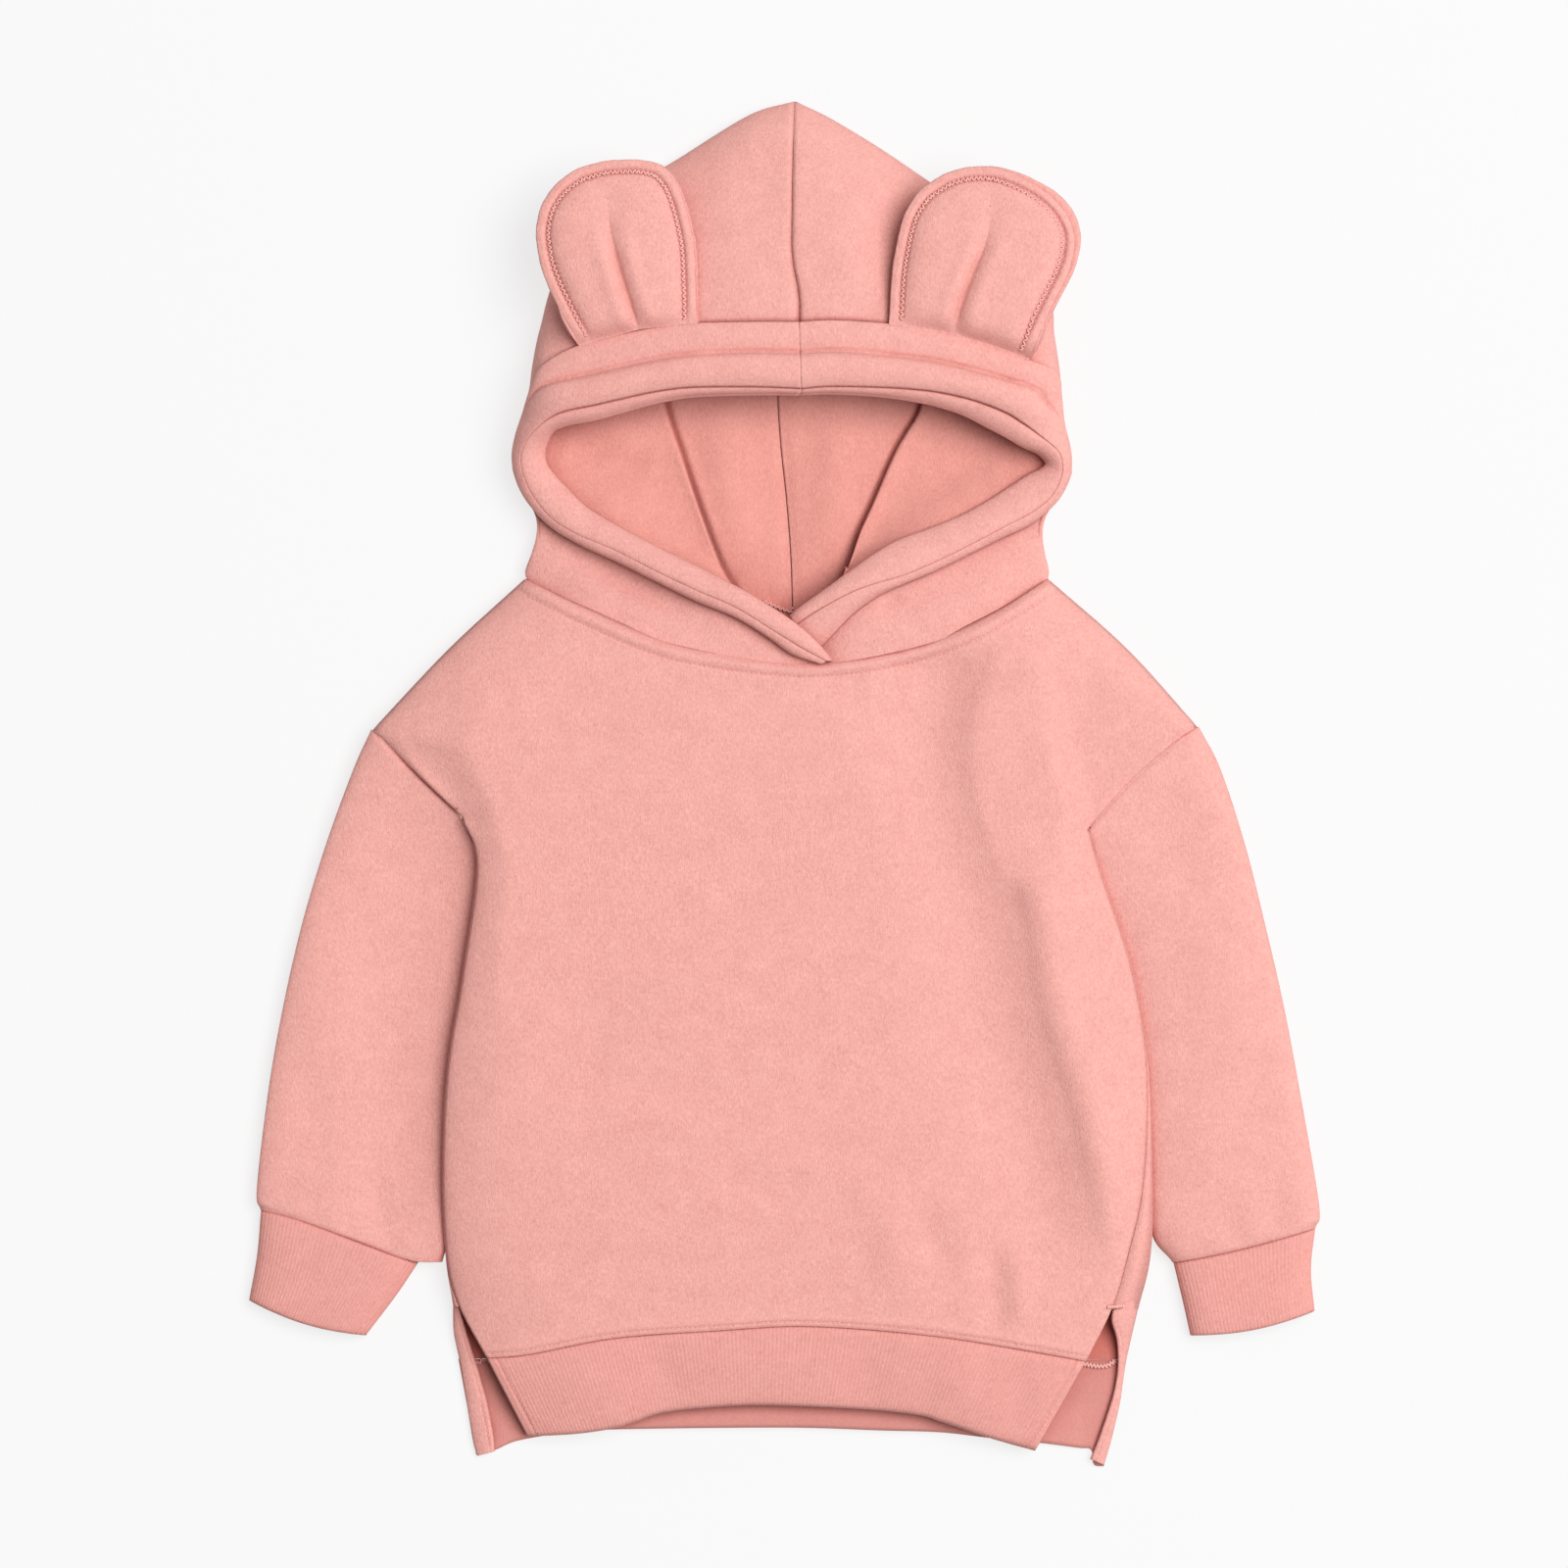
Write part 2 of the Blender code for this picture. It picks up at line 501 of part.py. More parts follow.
def make_cuff(side, rib, collection):
    """A ribbed tube: as many wales round it as its girth has pitches, two points a wale, at the same places in both
    of its rings."""
    outer, inner = [], []
    rings = [np.array(ring_section(np.array(station[1:]), 15, 9)) for station in CUFFS[side]]
    rings = [np.vstack([ring, ring[:1]]) for ring in rings]
    travelled = np.concatenate([[0], np.cumsum(np.linalg.norm(np.diff(rings[0], axis=0), axis=1))])
    places = np.linspace(0, travelled[-1], 2 * int(travelled[-1] / RIB_PITCH) + 1)[:-1]
    for closed in rings:
        ring = np.column_stack([np.interp(places, travelled, closed[:, k]) for k in range(3)])
        outward = ring_normals(ring)
        raised = np.where(np.arange(len(ring)) % 2, 0.0, -RIB_RELIEF)
        raised = np.where(ring[:, 2] < 0.6, 0.0, raised)
        outer.append(ring + outward * raised[:, None])
        inner.append(ring - outward * RIB_WALL)
    walled(f"cuff_{side}", np.array(outer), np.array(inner), rib, collection, ring=True)


def ring_normals(ring):
    """Outward directions of a closed section, square to the ring and lying in its own upright plane."""
    along = np.roll(ring, -1, axis=0) - np.roll(ring, 1, axis=0)
    flat = ring[np.argmax(ring[:, 0])] - ring[np.argmin(ring[:, 0])]
    plane = np.cross(flat, (0, 0, 1))
    plane /= np.linalg.norm(plane)
    normals = np.cross(along, plane)
    normals /= np.linalg.norm(normals, axis=1)[:, None]
    centre = ring.mean(axis=0)
    outward = np.sum(normals * (ring - centre)) > 0
    return normals if outward else -normals


def make_hems(body, rib, collection):
    """The front hem band hangs in an arch from the front panel; the longer back band lies on the floor."""
    last = body[-1]
    width = last[2] - last[0]
    count = 2 * int((FRONT_HEM_SEAM[-1][0] - FRONT_HEM_SEAM[0][0]) / RIB_PITCH) + 1
    seam, edge = smooth_run(FRONT_HEM_SEAM, count), smooth_run(FRONT_HEM_EDGE, count)
    outer, inner = [], []
    for share, drop in ((HEM_SEAM_SHARE, 0.3), (1.0, 4.5)):
        line = seam + (edge - seam) * share
        across = (seam[:, 0] - last[0]) / width
        height = last[4] + (last[5] - last[4]) * dome(across) - drop
        top = np.column_stack([line, height])
        raised = np.where(np.arange(count) % 2, 0.0, -RIB_RELIEF)
        outer.append(top + np.column_stack([0 * raised, 0 * raised, raised]))
        inner.append(top - np.array([0, 0, RIB_WALL]))
    walled("hem_front", np.array(outer), np.array(inner), rib, collection)

    columns = 17
    seam, edge = smooth_run(BACK_HEM_SEAM, columns), smooth_run(BACK_HEM_EDGE, columns)
    grid = []
    for share in (0.0, 0.5, 1.0):
        line = seam + (edge - seam) * share
        grid.append(np.column_stack([line, np.zeros(columns)])[::-1])
    cloth("hem_back", grid, FLEECE_WALL, rib, collection)


def make_vent_strips(fleece, collection):
    for side, stations in VENT_STRIPS.items():
        grid = []
        for row in refine([station[1:] for station in stations], 2):
            first, second = sorted([row[0:2], row[2:4]], key=lambda point: point[0])
            line = smooth_run([first, second], 4)
            grid.append([(x, y, FLEECE_WALL + 2 * SEAM_GAP + TRIM_WALL) for x, y in line])
        cloth(f"vent_strip_{side}", grid, TRIM_WALL, fleece, collection)


def hood_rows(side):
    """Station rows of the hood edge, refined: seam, edge and facing border as x y z each."""
    return refine([station[1:] for station in HOOD_EDGE[side]], HOOD_ROWS_BETWEEN)


def outer_line(seam, fold, end):
    """From the band seam over the top to the fold, round it, and under to its end."""
    depth = fold[2] - end[2]
    line = []
    for t in (0.0, 0.18, 0.36, 0.54, 0.70, 0.84, 0.94, 1.0):
        place = seam[:2] + (fold[:2] - seam[:2]) * t
        line.append((*place, fold[2] + (seam[2] - fold[2]) * (1 - t**1.3) ** 0.7))
    away = end[:2] - fold[:2]
    length = np.hypot(*away)
    for reach, height in ((0.15, 0.35), (1.0, 0.0)):
        place = fold[:2] + away * min(0.45, depth * reach / length)
        line.append((*place, end[2] + depth * height))
    start = np.array(line[-1])
    return line + [start + (end - start) * t for t in (0.33, 0.67, 1.0)]


def inside_of(line):
    """The inner side of a section over a fold, from its outer points: level with it, and upright inside the fold."""
    fold = line[OUTER_FOLD, :2]
    outward = np.where(np.arange(len(line)) <= OUTER_FOLD, 0, len(line) - 1)
    level = line[outward, :2] - fold
    level /= np.hypot(level[:, 0], level[:, 1])[:, None]
    reach = np.hypot(*(line[:, :2] - fold).T)
    inner = np.column_stack([fold + level * np.maximum(reach, FLEECE_WALL)[:, None], line[:, 2]])
    inner[:, 2] += np.where(outward > 0, FLEECE_WALL, -FLEECE_WALL)
    turn = np.nonzero(reach < FLEECE_WALL)[0]
    first, last = turn[0] - 1, turn[-1] + 1
    share = ((np.arange(len(line)) - first) / (last - first)).clip(0, 1)[:, None]
    upright = inner[first] + (inner[last] - inner[first]) * share
    inner[turn, 2] = upright[turn, 2]
    inner[turn, :2] = (fold + (level[0] + (level[-1] - level[0]) * share) * FLEECE_WALL)[turn]
    return inner


def make_outer_hood(fleece, collection):
    for side in ("left", "right"):
        stations = []
        for edge, fold in zip(HOOD_EDGE[side], HOOD_FOLD[side]):
            seam, turn, end = np.array(edge[1:4]) - (0, 0, UNDER_BAND), np.array(fold[1:4]), np.array(fold[4:7])
            away = (end[:2] - turn[:2]) / np.hypot(*(end[:2] - turn[:2]))
            seam[:2] += away * max(0.0, LEAST_TURN - np.hypot(*(seam[:2] - turn[:2])))
            line = outer_line(seam, turn, end)
            stations.append(np.array(line).reshape(-1))
        columns = len(line)
        grid = refine(stations, HOOD_ROWS_BETWEEN).reshape(-1, columns, 3)
        straight = refine(stations, HOOD_ROWS_BETWEEN, smooth=False).reshape(-1, columns, 3)
        grid[:, 9:] = straight[:, 9:]
        inner = np.array([inside_of(line) for line in grid])
        walled(f"hood_outer_{side}", grid, inner, fleece, collection)


def band_section(row):
    """Across the band from its seam to the crest: two soft tiers with a tuck between them."""
    seam, edge = row[0:3], row[3:6]
    length = np.linalg.norm(edge - seam)
    line = []
    for t, lift in ((0.0, 0.0), (0.12, 0.6), (0.3, 1.0), (0.46, 0.55), (0.52, 0.55), (0.7, 1.0), (0.88, 0.9), (1.0, 0.6)):
        point = seam + (edge - seam) * t
        point[2] += lift * (1.5 + 0.055 * length)
        line.append(point)
    return line


def facing_section(row):
    """Across the facing from the crest to its border and on down into the hood: outer points and inner points."""
    edge, border = row[3:6].copy(), row[6:9]
    inward = np.array([*(border[:2] - edge[:2]), 0.0])
    inward /= np.linalg.norm(inward)
    edge += inward * EDGE_SEAM
    down = np.array([0, 0, -TRIM_WALL])
    outer = [edge, edge + (border - edge) * 0.45 + (0, 0, 1.0), border, border + inward * 0.5 + (0, 0, -3.2)]
    shift = [down, down, down * 0.8 - inward * TRIM_WALL * 0.7, -inward * TRIM_WALL]
    return outer, [point + offset for point, offset in zip(outer, shift)]


def make_hood_edge(fleece, collection):
    for side in ("left", "right"):
        order = slice(None, None, -1) if side == "left" else slice(None)
        rows = hood_rows(side)
        band = np.array([band_section(row) for row in rows])[:, order]
        facing = np.array([facing_section(row) for row in rows])[:, :, order]
        walled(f"hood_band_{side}", band, band - (0, 0, FLEECE_WALL), fleece, collection)
        walled(f"hood_facing_{side}", facing[:, 0], facing[:, 1], fleece, collection)


def make_lining(fleece, collection):
    for layer, sides in LINING.items():
        for side, stations in sides.items():
            grid = []
            for row in refine([station[1:] for station in stations], 2):
                outer, inner = row[0:3], row[3:6]
                grid.append([outer + (inner - outer) * t for t in np.linspace(0, 1, 6)])
            grid = np.array(grid)
            cloth(f"lining_{layer}_{side}", grid if side == "right" else grid[:, ::-1], FLEECE_WALL, fleece,
                  collection)


def make_ears(fleece, collection):
    """Two layers each: the front one is crowned and has a soft pleat up its middle."""
    for side, stations in EARS.items():
        rows = refine([station[1:] for station in stations], 1)[::-1]
        across = 0.5 - 0.5 * np.cos(np.pi * np.linspace(0, 1, 11))
        front, back = [], []
        for i, row in enumerate(rows):
            share = i / (len(rows) - 1)
            left, right, height = row[0:2], row[2:4], row[4]
            crown = EAR_CROWN * math.sin(math.pi * min(1.0, 0.15 + share * 0.8))
            for layer, line in ((0, front), (1, back)):
                points = []
                for u in across:
                    place = left + (right - left) * u
                    rise = crown * float(dome(u)) + EAR_PLEAT * share * math.exp(-(((u - 0.45) / 0.12) ** 2))
                    points.append((*place, height + (1 - layer) * rise - layer * (FLEECE_WALL + SEAM_GAP)))
                line.append(points)
        for layer, grid in (("front", np.array(front)), ("back", np.array(back))):
            walled(f"ear_{side}_{layer}", grid, grid - (0, 0, FLEECE_WALL), fleece, collection)


def main():
    clear_scene()
    collection = bpy.data.collections.new("toddler_hoodie")
    bpy.context.scene.collection.children.link(collection)
    fleece = make_material("brushed_fleece", FLEECE_PINK, 0.95)
    rib = make_material("rib_knit", RIB_PINK, 0.9)
    body = make_body(fleece, collection)
    make_sleeves(fleece, rib, collection)
    make_hems(body, rib, collection)
    make_vent_strips(fleece, collection)
    make_outer_hood(fleece, collection)
    make_hood_edge(fleece, collection)
    make_lining(fleece, collection)
    make_ears(fleece, collection)


main()
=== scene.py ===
"""The looks of a toddler's fleece hoodie with bear ears, laid flat on a pale table."""

import math

import bmesh
import bpy
import numpy as np
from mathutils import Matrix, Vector


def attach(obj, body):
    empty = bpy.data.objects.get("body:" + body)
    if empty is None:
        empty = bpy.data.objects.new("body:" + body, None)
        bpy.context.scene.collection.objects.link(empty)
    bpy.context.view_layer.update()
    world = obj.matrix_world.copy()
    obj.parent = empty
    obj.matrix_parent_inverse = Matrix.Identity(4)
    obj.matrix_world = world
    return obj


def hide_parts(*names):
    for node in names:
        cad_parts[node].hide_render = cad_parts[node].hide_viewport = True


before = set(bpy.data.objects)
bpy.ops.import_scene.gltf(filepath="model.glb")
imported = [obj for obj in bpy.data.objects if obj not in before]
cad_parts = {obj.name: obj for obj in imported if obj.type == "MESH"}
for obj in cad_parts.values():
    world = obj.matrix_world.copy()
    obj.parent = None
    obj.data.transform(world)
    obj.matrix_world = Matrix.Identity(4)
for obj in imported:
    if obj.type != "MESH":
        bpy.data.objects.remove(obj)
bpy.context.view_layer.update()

# ---- The table, the light and the view ---------------------------------------------------------------------
# A wide white table, lit from below so that shadows on it stay faint, under a big soft window light from the
# upper right, nearly overhead, with white walls all round. The view is straight down from high up, so that
# the garment shows its laid-out shape with hardly any perspective.
TABLE_SIDE = 6.0
TABLE_TOP = -0.0003  # a hair below the cloth
TABLE_WHITE = (0.16, 0.16, 0.16, 1.0)
TABLE_GLOW = 0.77
TABLE_FINISH = {"Base Color": TABLE_WHITE, "Roughness": 0.9, "Specular IOR Level": 0.1,
                "Emission Color": (1.0, 1.0, 1.0, 1.0), "Emission Strength": TABLE_GLOW}
VIEW_HEIGHT = 4.444
VIEW_LENS = 200.0
VIEW_FRAME = 36.0
WINDOW_AT = (2.9, 1.0, 5.9)
WINDOW_SIDE = 5.5
WINDOW_POWER = 525.0
WALL_WHITE = (1.0, 0.995, 0.99, 1.0)
WALL_LIGHT = 0.24

bpy.ops.mesh.primitive_plane_add(size=TABLE_SIDE, location=(0, 0, TABLE_TOP))
table = bpy.context.object
table.name = "table_top"
table_white = bpy.data.materials.new("table_white")
table_white.use_nodes = True
for finish, value in TABLE_FINISH.items():
    table_white.node_tree.nodes["Principled BSDF"].inputs[finish].default_value = value
table.data.materials.append(table_white)

wardrobe = bpy.context.scene.collection
camera_data = bpy.data.cameras.new("view_from_above")
camera_data.lens = VIEW_LENS
camera_data.sensor_width = VIEW_FRAME
camera = bpy.data.objects.new("view_from_above", camera_data)
camera.location = (0, 0, VIEW_HEIGHT)
wardrobe.objects.link(camera)
bpy.context.scene.camera = camera

window_data = bpy.data.lights.new("window", "AREA")
window_data.shape = "DISK"
window_data.size = WINDOW_SIDE
window_data.energy = WINDOW_POWER
window = bpy.data.objects.new("window", window_data)
window.location = WINDOW_AT
window.rotation_euler = (-Vector(WINDOW_AT)).to_track_quat("-Z", "Y").to_euler()
wardrobe.objects.link(window)

walls = bpy.data.worlds.new("white_walls")
walls.use_nodes = True
walls.node_tree.nodes["Background"].inputs["Color"].default_value = WALL_WHITE
walls.node_tree.nodes["Background"].inputs["Strength"].default_value = WALL_LIGHT
bpy.context.scene.world = walls
bpy.context.scene.view_settings.view_transform = "Standard"

# ---- Brushed fleece ----------------------------------------------------------------------------------------
# The cloth is cotton in one salmon pink, brushed to a short matt nap with a faint heather in it. Its inside
# is plain, and painted a deeper pink for the shade it lies in. Near other cloth every colour is darkened:
# painted shade for hollow places. The rib and the thread are cotton too and share the nap.
FLEECE_PINK = (0.815, 0.392, 0.348, 1.0)
# the inside: plain, unbrushed, and painted darker for the shade it lies in where it shows
FLEECE_INSIDE_SHADED = (0.67, 0.225, 0.185, 1.0)
NAP_SPECK = 620.0  # specks a metre in the nap
NAP_CLOUD = 95.0  # and in the soft mottle under them
NAP_FIBRE = 1900.0  # and fibres a metre, which lie along the cloth
FIBRE_STRETCH = 0.22
TONE_TINT = (0.72, 1.12, 1.12)  # a darker speck is also a redder one
WHITE = (1.0, 1.0, 1.0, 1.0)
HOLLOW_SHADE_REACH = 0.042  # this near to other cloth its colour is darkened to a deeper pink: painted shade, redder as from bounced light
HOLLOW_PAINTED_SHADE = (0.76, 0.56, 0.54, 1.0)
HOLLOW_SKY = {"From Min": 0.30, "From Max": 0.93}  # the share of open sky at full painted shade, and at none
NAP_ROUGH = {"To Min": 0.86, "To Max": 1.0}
NAP_HEIGHT = 0.0006
COTTON_GLOSS = 0.12
SHEEN_ROUGH = 0.45
SHEEN_PINK = (1.0, 0.80, 0.76, 1.0)

nap = bpy.data.node_groups.new("cotton_nap_and_painted_shade", "ShaderNodeTree")
for label, kind, start in (
    ("Yarn", "NodeSocketColor", FLEECE_PINK),
    ("Specks", "NodeSocketFloat", NAP_SPECK),
    ("Heather", "NodeSocketFloat", 0.16),
    ("Mottle", "NodeSocketFloat", 0.10),
    ("Nap Depth", "NodeSocketFloat", 0.30),
    ("Painted Hollow Shade", "NodeSocketColor", HOLLOW_PAINTED_SHADE),
):
    socket = nap.interface.new_socket(label, in_out="INPUT", socket_type=kind)
    socket.default_value = start
nap.interface.new_socket("Color", in_out="OUTPUT", socket_type="NodeSocketColor")
nap.interface.new_socket("Roughness", in_out="OUTPUT", socket_type="NodeSocketFloat")
nap.interface.new_socket("Normal", in_out="OUTPUT", socket_type="NodeSocketVector")


def joined(tree, kind, links=(), **settings):
    """A new node in this tree with its settings, and its inputs linked or set by name."""
    node = tree.nodes.new(kind)
    for name, value in settings.items():
        setattr(node, name, value)
    for name, source in dict(links).items():
        if hasattr(source, "is_output"):
            tree.links.new(source, node.inputs[name])
        else:
            node.inputs[name].default_value = source
    return node


nap_in = nap.nodes.new("NodeGroupInput")
nap_out = nap.nodes.new("NodeGroupOutput")
place = nap.nodes.new("ShaderNodeTexCoord").outputs["Object"]
specks = joined(nap, "ShaderNodeTexNoise", {"Vector": place, "Scale": nap_in.outputs["Specks"],
                                            "Detail": 3.0, "Roughness": 0.75})
cloud = joined(nap, "ShaderNodeTexNoise", {"Vector": place, "Scale": NAP_CLOUD,
                                           "Detail": 3.0, "Roughness": 0.6})
stretched = joined(nap, "ShaderNodeMapping", {"Vector": place, "Scale": (1.0, FIBRE_STRETCH, 1.0)})
fibres = joined(nap, "ShaderNodeTexNoise", {"Vector": stretched.outputs["Vector"], "Scale": NAP_FIBRE,
                                            "Detail": 2.0, "Roughness": 0.6})
tones = None
for texture, amount in ((specks, "Heather"), (cloud, "Mottle"), (fibres, "Heather")):
    off_even = joined(nap, "ShaderNodeMath", {0: texture.outputs["Fac"], 1: -0.5}, operation="ADD")
    tone = joined(nap, "ShaderNodeMath", {0: off_even.outputs[0], 1: nap_in.outputs[amount]},
                  operation="MULTIPLY")
    if tones is None:
        tones = tone
    else:
        tones = joined(nap, "ShaderNodeMath", {0: tones.outputs[0], 1: tone.outputs[0]}, operation="ADD")
tinted = joined(nap, "ShaderNodeVectorMath", {0: tones.outputs[0], 1: TONE_TINT}, operation="MULTIPLY")
tint = joined(nap, "ShaderNodeVectorMath", {0: tinted.outputs["Vector"], 1: WHITE[:3]}, operation="ADD")
dyed = joined(nap, "ShaderNodeVectorMath", {0: nap_in.outputs["Yarn"], 1: tint.outputs["Vector"]},
              operation="MULTIPLY")
# Painted shade: where other cloth is near, the colour is darkened towards a deeper, redder pink.
open_sky = joined(nap, "ShaderNodeAmbientOcclusion", {"Distance": HOLLOW_SHADE_REACH}, samples=8)
openness = joined(nap, "ShaderNodeMapRange", {"Value": open_sky.outputs["AO"], **HOLLOW_SKY})
painted_hollow_shade = joined(nap, "ShaderNodeMix", {0: openness.outputs["Result"], 6: nap_in.outputs["Painted Hollow Shade"],
                                        7: WHITE}, data_type="RGBA")
shaded_in_hollows = joined(nap, "ShaderNodeVectorMath", {0: dyed.outputs["Vector"], 1: painted_hollow_shade.outputs[2]},
                  operation="MULTIPLY")
rough = joined(nap, "ShaderNodeMapRange", {"Value": specks.outputs["Fac"], **NAP_ROUGH})
heap = joined(nap, "ShaderNodeMath", {0: specks.outputs["Fac"], 1: fibres.outputs["Fac"]}, operation="ADD")
bumped = joined(nap, "ShaderNodeBump", {"Height": heap.outputs[0], "Strength": nap_in.outputs["Nap Depth"],
                                        "Distance": NAP_HEIGHT})
for label, source in (("Color", shaded_in_hollows.outputs["Vector"]), ("Roughness", rough.outputs["Result"]),
                      ("Normal", bumped.outputs["Normal"])):
    nap.links.new(source, nap_out.inputs[label])


def cotton(name, yarn, heather, mottle, depth, sheen=0.22, specks=NAP_SPECK, hollow=HOLLOW_PAINTED_SHADE):
    """A cotton material: the nap group, with its painted shade in hollow places, under a Principled shader
    with the soft sheen of loose fibres.
    """
    material = bpy.data.materials.new(name)
    material.use_nodes = True
    tree = material.node_tree
    shader = tree.nodes["Principled BSDF"]
    group = tree.nodes.new("ShaderNodeGroup")
    group.node_tree = nap
    for label, value in (("Yarn", yarn), ("Specks", specks), ("Heather", heather), ("Mottle", mottle),
                         ("Nap Depth", depth), ("Painted Hollow Shade", hollow)):
        group.inputs[label].default_value = value
    for output, socket in (("Color", "Base Color"), ("Roughness", "Roughness"), ("Normal", "Normal")):
        tree.links.new(group.outputs[output], shader.inputs[socket])
    shader.inputs["Specular IOR Level"].default_value = COTTON_GLOSS
    shader.inputs["Sheen Weight"].default_value = sheen
    shader.inputs["Sheen Roughness"].default_value = SHEEN_ROUGH
    shader.inputs["Sheen Tint"].default_value = SHEEN_PINK
    return material


fleece = cotton("brushed_fleece", FLEECE_PINK, heather=0.50, mottle=0.20, depth=0.55)
fleece_inside_shaded = cotton("fleece_inside_shaded", FLEECE_INSIDE_SHADED, heather=0.24, mottle=0.16, depth=0.3, sheen=0.12)

# ---- Front and back of the body ----------------------------------------------------------------------------
# Two big panels of fleece, sewn at the shoulders and down the sides. The back lies flat; the front is puffed
# up over it, rolls over at both sides and holds the soft folds of a garment that has just been laid down.
MM = 0.001  # the lengths of all pieces are in millimetres
FLEECE_WALL = 2.0
BODY = [
    # name, left x y, right x y, height of the side, of the crown, how far in the front starts from the left
    # and the right, how much the back rolls up
    ("neck point", -132.0, 104.5, 134.5, 104.5, 8.0, 25.0, 0.3, 0.3, 1.0),
    ("shoulder", -171.0, 68.5, 175.0, 68.5, 9.0, 26.0, 0.3, 0.3, 1.0),
    ("shoulder tip", -210.0, 27.0, 211.0, 28.5, 11.0, 27.0, 0.3, 0.3, 0.6),
    ("armhole", -185.5, 3.5, 180.5, 5.0, 16.5, 27.0, 0.3, 0.3, 0.0),
    ("armpit", -164.0, -16.5, 155.0, -23.0, 19.0, 27.0, 0.3, 0.3, 0.5),
    ("chest", -156.5, -42.0, 161.5, -46.0, 18.0, 27.0, 0.3, 0.3, 1.0),
    ("waist", -164.0, -98.5, 176.5, -92.0, 17.5, 27.0, 0.3, 0.3, 1.0),
    ("belly", -171.5, -146.0, 185.0, -142.0, 17.0, 26.5, 0.3, 0.6, 1.0),
    ("hip", -174.0, -200.5, 187.5, -202.0, 15.5, 26.0, 0.3, 5.0, 1.0),
    ("low hip", -172.0, -242.0, 186.5, -240.0, 12.5, 24.0, 0.3, 12.0, 1.0),
    ("vent top", -168.5, -266.0, 180.5, -267.0, 8.0, 22.0, 3.0, 14.0, 0.1),
    ("hem seam", -166.0, -293.0, 174.0, -293.5, 5.0, 20.0, 15.0, 20.5, 0.0),
]
SHOULDER_TIP, ARMPIT = 2, 4  # the stations where the outline turns a corner
LEFT, RIGHT = slice(0, 2), slice(2, 4)  # where a body line holds the x y of its two ends
CROWN, BACK_ROLLS = 5, 8  # the height of its crown, and how much the back rolls up
NECK_SEAM = [(-132.0, 104.5), (-104.0, 90.0), (-63.5, 72.5), (-27.5, 65.0), (10.0, 61.5), (41.0, 64.0),
             (76.5, 72.0), (107.0, 86.5), (134.5, 104.5)]
FRONT_HEM_SEAM = [(-151.0, -292.0), (-130.0, -290.0), (-85.5, -281.5), (-30.0, -277.5), (5.0, -275.5),
                  (40.0, -277.0), (80.0, -281.0), (118.0, -287.0), (153.5, -293.5)]
NECK_TUCK = (1.8, -2.8)  # how far the front goes under the hood at the neck seam, and down
NECK_STITCH_IN, HEM_STITCH_IN = 6.9, 2.6  # the rows of stitches, from their seams
SEAM_TURNS = {"neck": (1.3, 1.3), "hem": (1.0, 1.2), "armhole": (1.2, 1.1)}  # how deep it turns in, how wide
SEAM_RELIEF = [
    # the cloth puffs up past a seam and is drawn in by its stitches: seam, lift, how far from it, width
    ("neck", 0.9, 3.6, 2.2), ("neck", -0.45, NECK_STITCH_IN, 0.7),
    ("hem", 0.35, 4.6, 1.6), ("hem", -0.3, HEM_STITCH_IN, 0.6),
]
BODY_ROWS = 12  # rows of points from one body station to the next
BODY_ACROSS = 134
BODY_WIDE = 340.0
BODY_FLATNESS = 5.6
CROWN_SOFTNESS = 16.0  # over this length the height of the crown is evened out
# The rolled edge of the body runs on past the armpit, up towards the shoulder tip, and dies out there. For
# each side: the height of the cloth outside it, the width of its slope, and its line, as x, y and strength.
SIDE_ROLLS = {
    "left": (19.0, 26.0, [(-206.0, 56.0, 0.0), (-200.0, 42.0, 0.5), (-189.0, 25.0, 0.9), (-176.5, 14.0, 1.0),
                          (-166.5, 1.0, 1.0), (-158.5, -16.0, 1.0), (-156.5, -32.0, 0.6),
                          (-156.5, -48.0, 0.0)]),
    "right": (18.0, 16.0, [(161.0, -44.0, 0.0), (158.0, -32.0, 0.6), (154.0, -18.0, 0.9), (149.5, -3.0, 1.0),
                           (143.5, 19.0, 0.9), (140.0, 40.0, 0.6), (138.0, 60.0, 0.0)]),
}
